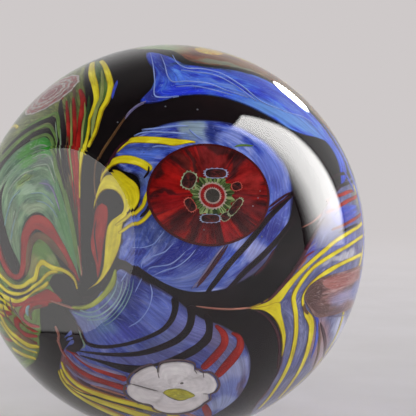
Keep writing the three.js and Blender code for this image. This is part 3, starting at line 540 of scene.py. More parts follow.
# name: [chart, slot, sides, tones from dark to light, spots of other colours, settings of marbled()]
FIELDS = {
    "blue_field_front": [FRONT, "blue", FRONT_SIDES, FRONT_BLUES,
        [(5, -4, 11, 4.5, 18, 0.9, (22, 28, 122)), (-4, 2.5, 6, 5, 0, 0.75, (32, 46, 108)),
         (8, -11.5, 9, 4, 14, 0.7, (84, 98, 160)), (26, -4, 6, 2.6, -35, 0.8, (150, 154, 200)),
         (32, 3, 6, 3.4, 40, 0.9, (36, 34, 108)), (24, -11, 9, 3.4, 40, 0.9, (64, 56, 88)),
         (7.5, 34.8, 4.6, 3.6, 0, 0.85, (128, 146, 150)), (13.8, 35, 2.6, 4, 0, 0.9, (28, 36, 98)),
         (33, 24, 5, 6, -40, 0.6, (104, 118, 186)), (20, 33.4, 4, 2.4, 0, 0.7, (124, 136, 190)),
         (-9, 28.6, 8, 1.6, 0, 0.8, (42, 54, 108)), (-8, 26.6, 7, 1.5, 0, 0.85, (66, 96, 186)),
         (-13.5, 12, 3, 6, 0, 0.9, (100, 114, 158)), (-9, 18.4, 4, 2.4, 0, 0.8, (92, 110, 160)),
         (36, 14, 4, 9, 0, 0.6, (92, 100, 162))],
        {"hairs": (0.3, (140, 156, 210)), "rim": (1.5, 0.85, DARK)}],
    "blue_field_top": [FRONT, "sky", (
        [[-13, 77], [-9, 69], [-5.6, 61], [-6.3, 53], [-10, 46.4], [-5, 45.9], [3, 48.8], [13, 50], [24, 48],
         [35, 43.6], [44, 39.7], [52, 39], [59, 40.3], [64.5, 38], [67.6, 33], [67.4, 28], [66.3, 23]],
        [[-4, 78], [1, 72], [5, 67.3], [14, 66], [26, 66.3], [37, 65.5], [47, 61], [56, 55.5], [63, 49.5],
         [69, 42], [74, 36], [74.4, 29], [71, 23], [67.4, 19.4]]),
        [(22, 30, 128), (28, 44, 170), (40, 66, 188), (62, 102, 198), (88, 134, 208)],
        [(43, 45.4, 19, 3.4, -12, 0.85, (88, 129, 184)), (4, 51, 10, 1.8, 5, 0.9, (30, 44, 196)),
         (38, 58, 14, 3.6, -26, 0.85, (36, 54, 160)), (9, 57, 12, 2, -3, 0.8, (70, 108, 208)),
         (18, 66.2, 22, 1.5, 0, 0.9, (30, 50, 64)), (-3, 68, 3.4, 8, 12, 0.8, (38, 52, 142)),
         (27, 63.6, 7, 2, -8, 0.7, (54, 72, 162)), (47, 52, 9, 2.4, -28, 0.7, (72, 96, 176)),
         (-7, 50, 2, 6, 24, 0.8, (44, 46, 120)), (22, 54.6, 9, 1.2, -20, 0.8, (94, 121, 188))],
        {"hairs": (0.6, (112, 140, 192)), "rim": (0.9, 0.7, (30, 30, 66))}],
    "blue_field_foot": [FRONT, "blue", (
        [[-33, -24.3], [-27, -24.2], [-21, -20], [-18, -15.4], [-15.6, -11], [-13.8, -9.4], [-11, -10.4],
         [-7.5, -12.5], [-2, -15.4], [2, -18.4], [5, -21], [10, -24.6], [17, -27.6], [23, -32], [26.5, -38],
         [28, -46], [27.3, -54], [25, -60], [21.5, -65], [17.5, -69]],
        [[-34, -26], [-31, -29.5], [-28.5, -33.5], [-30.5, -37], [-37, -38.7], [-39.3, -43], [-41, -49],
         [-40, -55], [-36, -60], [-30, -65], [-23, -69], [-15, -72.5], [-6, -75], [4, -75.5], [12, -73.5]]),
        FOOT_BLUES,
        [(-16, -17, 3, 5, 60, 0.7, (84, 104, 110)), (-11, -17, 3, 6, -20, 0.8, (44, 50, 122)),
         (-3, -22.5, 4, 6, -30, 0.8, (92, 106, 184)), (-14, -30, 6, 3.4, 20, 0.75, (70, 74, 160)),
         (-24, -27, 7, 2.2, -10, 0.8, (88, 112, 152)), (-28, -30, 5, 3, -20, 0.7, (86, 94, 144)),
         (-4, -38.4, 22, 2.4, 6, 0.8, (84, 84, 138)), (0, -32, 9, 4, 30, 0.7, (94, 98, 142)),
         (15, -31, 5, 4, -30, 0.9, (104, 96, 130)), (19, -38, 5, 6, -20, 0.85, (100, 96, 134)),
         (21.5, -45, 6, 4.6, 40, 0.9, (146, 150, 184)), (21, -53, 6, 5, 0, 0.85, (104, 114, 172)),
         (19.4, -61, 5, 4.4, 0, 0.9, (142, 152, 190)), (-28, -50, 9, 3.6, -20, 0.85, (112, 58, 56)),
         (-28, -54.4, 11, 2.4, -14, 0.9, (98, 48, 44)), (-30, -62, 14, 5, -22, 0.9, (60, 56, 26)),
         (-10, -64, 12, 3, -18, 0.9, (92, 84, 80)), (26, -54, 1.4, 8, 0, 0.7, (96, 70, 76)),
         (6, -28, 7, 5, -40, 0.75, (108, 108, 168)), (-37.4, -45, 3, 6, 0, 0.9, (112, 58, 46))],
        {"hairs": (0.4, (132, 146, 196)), "rim": (1.2, 0.75, (48, 34, 44))}],
    "lavender_field_right": [FRONT, "lavender", (
        [[64, 21.5], [58, 15], [52.5, 8], [47, -1.5], [41, -9.5], [35, -16], [31.5, -20.5], [35.5, -25],
         [38.6, -31], [40, -39], [40.3, -48], [38.6, -57], [35, -66], [31, -76]],
        [[87, 30], [100, 27], [112, 16], [118, -2], [114, -20], [104, -38], [92, -54], [78, -68], [62, -82],
         [46, -94]]), LAVENDERS,
        [(69, 9.5, 8, 4, 12, 0.9, (62, 66, 176)), (47, -3, 4, 2.4, 50, 0.9, (58, 58, 146)),
         (64, -1.5, 12, 1.8, 14, 0.7, (110, 116, 186)), (66, -6.6, 12, 1.4, 8, 0.85, (176, 174, 184)),
         (46, -46, 7, 3.4, 0, 0.6, (78, 82, 140)), (46, -64, 8, 4, 0, 0.6, (80, 78, 122)),
         (60, -42, 5, 15, 24, 0.9, (156, 116, 114)), (67, -54, 4, 14, 26, 0.8, (176, 158, 168)),
         (73, -39, 5, 9, 30, 0.9, (190, 194, 224)), (80, -4.6, 6, 2, 0, 0.9, (64, 60, 120)),
         (84, 20, 8, 5, 10, 0.7, (150, 150, 90)), (56, 10, 4, 7, -40, 0.7, (60, 40, 60))],
        {"rim": (1.3, 0.9, (70, 26, 26)), "hairs": (0.4, (160, 160, 190))}],
    "green_field_lobe": [FRONT, "teal", (
        [[-28.8, -15], [-30.3, -6], [-32.6, 4], [-35.6, 14], [-38.8, 24], [-41, 33], [-46, 37.2],
         [-55, 35.5], [-63, 32], [-69, 25], [-70.5, 17], [-68, 9], [-65, 2], [-61.5, -4], [-58, -9],
        [-57, -12]],
        [[-29.3, -15.5], [-31.5, -10], [-34.5, -5], [-38, 1], [-41.5, 6], [-45.5, 9.6], [-50, 9.8],
         [-54, 7], [-56, 1], [-56.3, -5], [-56, -11]]),
        [(44, 74, 58), (66, 98, 76), (86, 122, 92), (112, 144, 108), (136, 158, 124)],
        [(-35, 4, 2, 22, 15, 0.85, (66, 122, 62)), (-49, 12, 7, 2.2, 0, 0.85, (132, 148, 118)),
         (-46, 31, 9, 2.2, -14, 0.8, (82, 92, 90)), (-55, 24.3, 4.4, 1.5, 16, 0.95, (138, 160, 62)),
         (-46, 25, 4, 3, 0, 0.8, (66, 98, 66)), (-45, 34.6, 5, 2.4, -10, 0.95, (44, 132, 34)),
         (-53, 33, 6, 2.2, 22, 0.85, (62, 128, 40)), (-52, 20, 5, 1.6, 12, 0.8, (140, 166, 140)),
         (-42, 15, 3, 5, 30, 0.7, (112, 150, 116)), (-43, 20, 4, 1.6, -40, 0.8, (78, 92, 120)),
         (-63, 10, 4, 14, 0, 0.6, (88, 106, 84)), (-60, 3, 3, 10, 20, 0.6, (108, 128, 96))],
        {"across": 1.4, "hairs": (0.5, (150, 172, 150)), "rim": (1.0, 0.6, (50, 52, 44))}],
    "green_field_left": [FRONT, "green", (
        [[-32, -14.5], [-37, -8.5], [-41.5, -2.5], [-46, 1.5], [-50.3, 0], [-52, -7], [-53.5, -14],
         [-58.5, -17.5], [-65, -16], [-73, -10], [-84, -3], [-98, 0], [-112, -2]],
        [[-36, -23], [-42, -24.5], [-46.8, -26.4], [-47.6, -31.7], [-47.8, -38], [-52, -46.9], [-59, -53],
         [-70, -62], [-84, -70], [-98, -74]]),
        [(56, 72, 24), (76, 100, 36), (92, 122, 50), (120, 140, 70)],
        [(-45, -4, 5, 3, 0, 0.85, (84, 122, 56)), (-50, -10, 3, 4.4, 0, 0.85, (134, 128, 80)),
         (-42, -7, 6, 1.4, 40, 0.8, (122, 138, 88)), (-64, -32, 8, 4, -20, 0.7, (112, 122, 60)),
         (-56, -38.6, 7, 2, -8, 0.85, (122, 66, 44)), (-66, -14, 6, 2.6, 20, 0.7, (110, 72, 44)),
         (-84, -20, 14, 20, 0, 0.5, (70, 112, 44))],
        {"hairs": (0.4, (150, 162, 70)), "rim": (1.0, 0.6, (46, 34, 22))}],
    "green_field_crown": [FRONT, "green", (
        [[-28.4, -10], [-28.9, 5], [-29.3, 18], [-28.9, 30], [-29.3, 42], [-31, 53], [-34, 64], [-37, 76],
         [-38, 90], [-38, 106]],
        [[-29, -10], [-31.3, 4], [-34.2, 14], [-37.2, 24], [-39.6, 33], [-42.2, 38.6], [-47, 40.6],
         [-54, 39.7], [-61, 37], [-70, 31], [-82, 25], [-96, 22], [-110, 22]]),
        [(48, 54, 24), (74, 82, 36), (98, 106, 50), (122, 128, 66)],
        [(-31, 6, 3.4, 20, 6, 0.95, (30, 18, 20)), (-33, 24, 4, 10, 8, 0.85, (44, 28, 28)),
         (-52, 44, 16, 7, -16, 0.5, (96, 104, 76)), (-66, 36, 12, 4, 26, 0.7, (84, 104, 60))],
        {"hairs": (0.5, (150, 160, 84)), "rim": (0.9, 0.8, (26, 30, 14))}],
    "olive_field_crown": [FRONT, "olive", (
        [[-27, 31], [-25, 40], [-24, 46], [-21.5, 53], [-22.5, 60], [-26, 68], [-29.5, 78]],
        [[-28, 31], [-28.4, 42], [-27, 50], [-29.8, 58], [-32.5, 67], [-34.5, 79]]),
        [(40, 58, 20), (58, 84, 32), (84, 112, 48), (120, 142, 84)],
        [(-25, 53, 1.6, 7, 0, 0.8, (104, 130, 66)), (-26.4, 44, 1.4, 4, 0, 0.8, (120, 136, 96))],
        {"rim": (0.6, 0.8, (24, 40, 16))}],
    "maroon_field_top": [FRONT, "maroon", (
        [[-22, 84], [-10, 82], [0, 79.4], [4, 74.4], [8, 69.2], [16, 67.8], [27, 68.5], [38, 67.6],
         [48, 63], [57, 57.6], [64, 52], [71, 45]],
        [[-26, 112], [-14, 114], [0, 114], [12, 112], [24, 109], [36, 104], [48, 97], [60, 87], [70, 76],
         [78, 65], [82, 56], [80, 48]]),
        [(66, 26, 18), (92, 42, 28), (112, 56, 34), (104, 88, 48)],
        [(-5, 84, 11, 8, 0, 0.95, (132, 156, 116)), (55, 62, 16, 3, -35, 0.8, (96, 88, 60)),
         (30, 74, 10, 3, -8, 0.7, (104, 78, 50)), (24, 70, 14, 1.4, 0, 0.8, (96, 116, 100)),
         (22, 90, 20, 9, 0, 0.6, (120, 96, 40))],
        {"hairs": (0.5, (160, 120, 70)), "rim": (1.0, 0.8, (30, 32, 30))}],
    "green_field_back": [BACK, "green", FRONT_SIDES,
        [(24, 62, 34), (44, 92, 46), (74, 124, 62), (112, 150, 84), (160, 184, 130)],
        [(26, -4, 8, 3, -35, 0.8, (160, 184, 130)), (32, 3, 6, 3.4, 40, 0.8, (30, 66, 52)),
         (5, -4, 11, 4.5, 18, 0.8, (24, 66, 44)), (7, 34.6, 8, 3.4, 0, 0.7, (130, 160, 140))],
        {"seed": 3.0, "hairs": (0.5, (170, 194, 140)), "rim": (1.5, 0.85, DARK)}],
    "blue_field_back": [BACK, "blue", (
        [[-34, 26], [-27, 38], [-15, 46], [0, 50], [15, 50.5], [30, 47], [43, 39], [51, 27], [53, 13]],
        [[-47, 30], [-41, 48], [-25, 61], [-4, 67], [18, 67], [38, 62], [55, 52], [67, 36], [70, 16]]),
        FRONT_BLUES, [(20, 60, 16, 3, -4, 0.7, (42, 56, 180)), (-20, 52, 9, 3, 30, 0.7, (104, 140, 214))],
        {"seed": 5.0, "hairs": (0.6, (140, 160, 214)), "rim": (1.2, 0.8, DARK)}],
    "lavender_field_back": [BACK, "lavender", (
        [[-30, 12], [-27, 2], [-26, -8], [-20, -17], [-8, -24], [6, -27], [20, -26.5], [33, -20], [43, -10]],
        [[-50, 14], [-49, -3], [-43, -19], [-32, -33], [-14, -42], [6, -43.5], [26, -41], [43, -33],
        [56, -19]]),
        LAVENDERS, [(-38, -4, 5, 10, 0, 0.7, (60, 84, 156)), (30, -32, 12, 4, 20, 0.6, (130, 134, 178))],
        {"seed": 7.0, "hairs": (0.5, (160, 164, 200)), "rim": (1.2, 0.8, (60, 28, 34))}],
}

# ---- Stringers -------------------------------------------------------------------------------
# A branch is a line of [x, y, width] points, or a pair of sides with a sheet between them.
STRINGERS = {
    "black": {
        "black_drop": [
            [[-20.6, -17, 2.2], [-18.6, -14.2, 2.6], [-17, -11, 2.8], [-15.6, -8.9, 3], [-13.8, -8, 3],
             [-11.8, -8.4, 2.9], [-8.6, -10.3, 2.6], [-4.4, -13, 2.4]],
            ([[-42.2, -15.4], [-40, -12.8], [-37, -12], [-34, -12.6], [-32, -14.6], [-30.5, -17.4],
              [-28.8, -19.6], [-25, -19.2], [-21, -16.6]],
             [[-42, -16.4], [-39.4, -19.4], [-36, -21.4], [-33, -22.8], [-30, -23], [-27, -22],
              [-24, -20.6], [-21, -17.6]])],
        "black_chevron_crown": [
            [[-37.6, 30, 0.8], [-39.4, 37, 1.4], [-41.6, 42, 2.4], [-44.6, 44.4, 3], [-49, 44.2, 3],
             [-55, 42.6, 2.4], [-62, 39.8, 2.2], [-70, 35.6, 2]],
            [[-41.8, 54, 0.8], [-41, 50, 1.8], [-39, 43.6, 2.4], [-36.8, 36.6, 2.3], [-35.6, 30, 1.4],
             [-34, 22, 0.8]],
            [[-39.8, 34.4, 1], [-41.6, 37.6, 2.2], [-45, 39.2, 2.5], [-50, 38.9, 2.4], [-55, 37.3, 2.2],
             [-62, 34, 1.8], [-69, 30, 1.2]]],
        "black_stripe_front_upper": [
            [[41.4, 16, 1.6], [36.6, 11.8, 1.6], [31, 6.8, 1.8], [24.6, -0.4, 1.9], [18, -7.4, 1.8],
             [12.4, -14.6, 1.5], [10.6, -17, 1]]],
        "black_stripe_front_lower": [
            [[40.6, 7, 1.8], [35.4, 1.2, 1.8], [29.4, -4.6, 1.9], [23, -10, 1.7], [17.4, -15.8, 1.2]]],
        "black_arc_foot_upper": [
            [[-29.6, -33, 0.5], [-26.6, -34.8, 1.4], [-22, -35.2, 1.3], [-15, -33.8, 1.2],
             [-8, -31.2, 1.3], [-2, -27.8, 1.5], [0.6, -24.4, 1.8], [1.6, -20.8, 2], [1.4, -17.4, 2.6]]],
        "black_arc_foot_middle": [
            [[-32, -37.9, 0.3], [-26, -38, 0.9], [-18, -37.8, 1.4], [-10, -36.8, 1.8], [-3, -34.4, 2.2],
             [3, -31, 2.4], [5.8, -27.4, 2.4], [6.6, -23.6, 2.4], [6.4, -20.2, 3]]],
        "black_arc_foot_lower": [
            ([[-31, -39.4], [-24, -40.4], [-18, -41.2], [-12, -41.6], [-6, -40.8], [0, -38.2], [5, -35.4],
              [9, -32.4], [11, -29.5], [11.2, -27], [9.8, -22.4]],
             [[-31, -40], [-24, -41.6], [-18, -43.6], [-12.5, -45], [-6, -42], [0, -40.2], [6, -38.2],
              [10, -35.4], [13, -32], [13.4, -29], [13.4, -23.6]])],
        "black_stripe_right": [
            [[60, 18, 0.9], [66, 20.6, 1.3], [72, 22.8, 1.4], [78, 24.8, 1.2], [84, 27, 0.9]],
            [[60, 22.4, 0.8], [66, 25.4, 1.2], [72, 27, 1.3], [78, 28.4, 1]],
            [[-71.5, 24, 1.2], [-70.6, 12, 2.4], [-68, 3, 3.4], [-64, -5, 4], [-60.6, -12, 3.6],
             [-58.6, -16, 1.8]]],
    },
    "red": {
        "red_arch": [
            [[-29.3, -14.2, 0.6], [-31.2, -10.8, 1.7], [-34.4, -6.6, 3.4], [-39, -0.6, 4.8],
             [-44, 5.3, 5.4], [-49, 6.4, 5.4], [-53, 2.6, 4.6], [-54.4, -4, 3.6], [-54.9, -10, 3.2],
             [-57.2, -14.5, 2.5], [-61, -15.4, 2.3], [-65, -13.6, 2.6], [-69, -9, 3.2], [-73.5, -2, 3.4]]],
        "red_finger": [
            ([[-21.6, 11.8], [-23, 9], [-23.8, 4], [-24.6, 0], [-24.3, -4], [-22.9, -8], [-22.2, -12.6]],
             [[-19, 12], [-18.1, 9.5], [-18.6, 4], [-19.8, -1], [-20.4, -5], [-21, -9], [-21.8, -12.8]])],
        "red_swirl": [
            ([[-42.3, -17.5], [-48.5, -20.9], [-54, -23.8], [-59.7, -26.3], [-67, -28.5], [-70, -31]],
             [[-34.9, -22.2], [-40.3, -23.1], [-46.9, -24.9], [-53.7, -26.2], [-60, -28.8], [-68, -31.6]]),
            [[-42.6, -23.6, 2.2], [-48.8, -25.6, 3], [-54.9, -28, 3.2], [-58, -31.4, 3.2],
             [-57.6, -34.2, 2.8], [-54.1, -35.6, 2.2], [-47.8, -35, 1]],
            [[-58.6, -36.3, 0.6], [-52.9, -37.8, 1.5], [-48.8, -38.3, 1]]],
        "red_stripe_crown_inner": [
            [[-34.2, 57, 1.2], [-32.6, 53.4, 2], [-31.2, 49.4, 2.3], [-30.8, 44.6, 2.2],
             [-30.9, 40.3, 1.7], [-30.5, 35, 1.7], [-30.1, 29.3, 2.2], [-29.9, 24, 2], [-29.6, 18, 1.5],
             [-29.3, 12, 1], [-29.1, 6, 0.8], [-29, 0, 0.6], [-28.6, -9, 0.4]]],
        "red_stripe_crown_outer": [
            [[-36.1, 53.6, 0.9], [-34.2, 46.2, 1.6], [-33, 40.6, 1.6], [-32.1, 35.2, 1.4],
             [-31.6, 29.4, 1.4], [-31, 24, 1.1], [-30.5, 18, 0.8], [-30, 11, 0.4]],
            [[-38.8, 52, 0.8], [-37, 45.9, 1.4], [-35.7, 41.1, 1.5], [-34.5, 35.6, 1.5],
             [-33.5, 29.7, 1.2], [-32.4, 23, 0.9], [-31.4, 17, 0.6], [-30.6, 10, 0.3]]],
        "red_stripe_foot_inner": [
            [[10.6, -43, 2.6], [15.4, -37.2, 3], [17.5, -33.4, 2.6], [17, -30, 2.2], [14.2, -26.8, 1]]],
        "red_stripe_foot_outer": [
            [[15.6, -47, 2.6], [18, -43.5, 3.4], [21.4, -38.6, 3.5], [23, -35, 2.8], [22.2, -31.6, 1.8],
             [19.6, -29.8, 0.8]]],
        "red_stripe_foot_left_upper": [
            [[-36, -38.2, 0.6], [-33.6, -38.8, 1.6], [-31, -41.4, 1.8], [-26, -44.4, 2.1],
             [-20, -46.2, 2.4], [-14.8, -48, 2.8]]],
        "red_stripe_foot_left_lower": [
            [[-38, -38.6, 0.6], [-36, -41.6, 1.5], [-33.4, -45.6, 2], [-28, -48.8, 2.4],
             [-22, -50.4, 2.8], [-15.2, -52.4, 2.8]]],
        "red_stripe_right": [
            [[55, 9.4, 0.6], [61, 11.4, 1.2], [66, 13.6, 1.5], [72, 15.8, 1.7], [77, 17.4, 1.6],
             [84, 20, 1.2]],
            [[56, 13.6, 0.6], [60, 15.4, 1], [66, 17.2, 1.5], [72, 19.2, 1.4], [78, 20.6, 1]],
            [[58, 3.4, 0.6], [64, 5, 1], [70, 6.8, 1.2], [76, 8.6, 1.4], [84, 11.4, 1.2]],
            [[40.4, -10.4, 0.4], [43, -7.8, 0.8], [45.6, -5.6, 0.6], [49, -4, 0.4]],
            [[12.4, -60.6, 2.2], [13.6, -64, 3], [14.8, -68, 3], [14.6, -72, 2]]],
    },
    "olive": {
        "olive_stringer_left": [
            [[-15.4, -9.6, 0.8], [-16.2, -13.6, 2.2], [-19.4, -18.2, 2], [-24.2, -22.2, 1.7],
             [-28, -23.6, 1.4], [-32.4, -24, 0.8]]],
    },
    "yellow": {
        "yellow_stringer_crown_left": [
            [[-34.5, 79, 2.4], [-30.8, 64.8, 3], [-28, 57.5, 2.7], [-26, 49.6, 2.1], [-26.6, 44.2, 1.5],
             [-27.4, 40.6, 1.2], [-27.2, 36.5, 1.3], [-27.8, 30.9, 1.4], [-28.6, 24, 0.8],
             [-28.9, 14, 0.4]]],
        "yellow_stringer_crown_right": [
            [[-29.8, 77, 2], [-26.3, 70, 2.2], [-22.8, 60.4, 2.4], [-21.4, 55, 2.3], [-21.8, 48.8, 1.9],
             [-23.4, 44.4, 1.6], [-24, 40.1, 1.4], [-24.7, 35.4, 1.2], [-26.7, 30, 0.9]]],
        "yellow_stringer_upper": [
            [[-17, 27.2, 0.5], [-15.4, 28.8, 0.9], [-13.8, 30.4, 1.3], [-12, 31.2, 1.9],
             [-9.5, 31.4, 2.3], [-5, 31.1, 2.3], [-1.5, 30.7, 2.4], [1, 30.3, 2.6], [3.5, 30.4, 1.8],
             [6, 30.6, 1], [8, 30.4, 0.4]]],
        "yellow_zigzag_left": [
            [[-30, -17, 0.5], [-31, -14, 0.8], [-33, -12, 1.2], [-36.5, -10.6, 1.4], [-40, -10.2, 1.8],
             [-43, -9, 1.8], [-45, -8.3, 2.2], [-47, -10, 2], [-48, -13, 2], [-48.8, -14.8, 2.2],
             [-52, -16.4, 1.8], [-56, -18.8, 1.8], [-62, -19.6, 1.8], [-67, -18, 1.8], [-73, -15.5, 2.2]]],
        "yellow_stringer_left_middle": [
            [[-38, -11.4, 0.8], [-41, -11.8, 1.4], [-43.5, -13.2, 1.4], [-46, -15.6, 1.3],
             [-50, -18.2, 1.2], [-54, -21, 1.2], [-60, -22.8, 1.6], [-66, -23, 1.7], [-73, -21, 2.2]]],
        "yellow_stringer_left_lower": [
            [[-42.4, -15.4, 1.2], [-44, -17, 1.6], [-47, -18.6, 1.2], [-51, -20.8, 1.1],
             [-55, -23.8, 1.4], [-60, -26, 1.8], [-66, -26.4, 2.4], [-73, -26, 3]]],
        "yellow_stringer_rim_upper": [
            [[-48.2, -39.6, 1.2], [-53.7, -40.4, 2.2], [-59.5, -38.9, 2.4], [-65.4, -36, 2.4],
             [-69, -30.4, 2]]],
        "yellow_stringer_rim_lower": [
            [[-50, -42.8, 1.2], [-57.2, -42.4, 1.8], [-64.3, -40.4, 2], [-70.4, -34, 2]],
            [[-52, -46.4, 1.4], [-60.9, -47.2, 2.2], [-68.2, -46.9, 2.4]]],
        "yellow_stringer_right_middle": [
            [[106, 3, 1.2], [92, 2.4, 1.5], [80, 0.6, 1.4], [68, -2.6, 1.4], [57, -6, 1.5],
             [49, -9.6, 1.4], [43.6, -14.5, 1.6], [41.2, -19, 1.8], [43, -26, 1.8], [44.4, -34, 1.9],
             [44.6, -44, 2], [43.4, -52, 2], [41.8, -59, 1.8], [40.4, -65, 1.6], [38, -73, 1.4]]],
        "yellow_stringer_right_outer": [
            [[104, -5, 1.2], [90, -5.4, 1.6], [80, -6.8, 1.6], [72, -7.8, 1.5], [64, -9.2, 1.5],
             [57, -11.2, 1.8], [51.5, -13.3, 1.2], [48, -15.5, 0.9], [45.8, -18, 0.9], [45.2, -20.6, 1.1],
             [45.8, -23, 1.2]],
            [[46.4, -24.2, 0.8], [48, -26.4, 2.4], [50, -28.6, 2.8], [51.4, -31.4, 2.6], [52.1, -36, 2.5],
             [52.5, -42, 2.4], [52.4, -48, 2.3], [51.5, -54, 2], [50.2, -59, 1.9], [49, -64, 1.7],
             [47.5, -70, 1.4]]],
        "yellow_band_foot_upper": [
            [[-39, -44, 0.8], [-38.6, -48, 1.4], [-37, -51.6, 2], [-34, -54.4, 2.5], [-30, -56.3, 2.8],
             [-24, -57.9, 3], [-18, -59.3, 3], [-12, -61, 2.8], [-7, -63, 2.4], [-3, -65, 1.2]]],
        "yellow_band_foot_middle": [
            [[-40.2, -47.6, 0.9], [-39.8, -52, 1.6], [-37.6, -56, 2.3], [-33, -59.2, 3],
             [-27, -61.6, 3.3], [-20, -64, 3.6], [-14, -66.4, 3.8], [-7, -69.2, 3.6]]],
        "yellow_band_foot_lower": [
            [[-41.6, -49, 0.7], [-41.2, -54, 1.2], [-38.8, -58.7, 1.9], [-34, -63, 2.5],
             [-28, -66.6, 2.9], [-22, -70, 3.1], [-16, -73, 2.8]],
            [[-1.4, -66, 1], [1, -67, 2.4], [4, -68.6, 2]]],
        "yellow_fork_left": [
            ([[-26, -17], [-22.9, -14.6], [-20.6, -11.2], [-19.5, -6], [-19.1, 0], [-18.2, 4.2],
              [-16.6, 6.2], [-14.4, 7.5], [-12.8, 8.8]],
             [[-25.4, -16.4], [-21.4, -14.2], [-18.4, -10.8], [-15.6, -6], [-13.8, -1.6], [-13.2, 2.2],
              [-12.8, 5], [-11.8, 7], [-10.4, 9.2]]),
            ([[-23.3, 10.3], [-22.3, 13], [-21, 15.2], [-19.4, 16.3], [-17.5, 16.6], [-15.6, 16.2],
              [-13.9, 14.9], [-12.7, 13], [-12.2, 11], [-12.6, 9], [-14, 7.4]],
             [[-23.5, 10.4], [-22.9, 13.2], [-21.6, 16.8], [-20.2, 19.6], [-18, 21.4], [-15.6, 21],
              [-12.6, 18.8], [-10.2, 16.8], [-9.1, 14], [-9.3, 11.6], [-11, 8.2]]),
            [[-15.5, 4.4, 0.8], [-13.5, 5.6, 1.1], [-11, 7.2, 1.2], [-9.4, 8.6, 1.2], [-8, 10.2, 1.2],
             [-7.3, 12.5, 1.2], [-6.2, 14.8, 1.2]],
            [[-14.5, 2, 0.8], [-12.6, 3, 1.1], [-10.5, 4.3, 1.1], [-8.6, 5.2, 1.2], [-7, 6.6, 1.2],
             [-5.5, 8.4, 1.3], [-3.8, 9.8, 1.4]],
            [[-20.6, 19.2, 0.5], [-19.8, 21.6, 0.9], [-18.4, 23.6, 1.9], [-16, 24.7, 2.5],
             [-13, 24.7, 2.7], [-10, 23.9, 2.5], [-7.6, 22.6, 2.5], [-5.6, 21, 2.2]]],
        "yellow_fork_right": [
            ([[25, -21.5], [30, -19.9], [34, -17.3], [38, -14.2], [42, -10.7], [48, -6.6], [54, -3],
              [60, 0.2], [68, 3], [76, 5.4], [88, 8.8], [104, 11]],
             [[25, -21.9], [31, -21.9], [35.6, -20.6], [38.8, -16.6], [42.4, -12.6], [48, -8.2],
              [54, -4.8], [60, -1.4], [68, 1.4], [76, 3.8], [88, 7.2], [104, 9.8]]),
            ([[25, -21.6], [31, -21.2], [35.6, -20.4], [36.6, -24], [38.4, -28.6], [39.8, -33],
              [40.2, -38], [40.1, -42]],
             [[25, -22], [29.6, -22.7], [33, -24.7], [35.8, -28], [37.8, -32], [39, -36], [39.6, -39],
              [39.9, -42]])],
    },
}
# colour: [tones, rim], as marbled() takes them.
STRINGER_LOOKS = {
    "yellow": [[(162, 146, 16), (192, 176, 24), (206, 192, 32), (220, 208, 60)], (0.35, 0.75, (128, 92, 14))],
    "olive": [[(112, 122, 34), (140, 148, 38), (164, 168, 52)], (0.5, 0.7, (60, 66, 24))],
    "red": [[(102, 14, 12), (132, 22, 18), (150, 30, 24), (162, 46, 36)], (0.5, 0.6, (66, 18, 18))],
    "black": [[(14, 11, 12), (22, 16, 18), (36, 24, 30)], (0.5, 0.6, (46, 26, 34))],
}

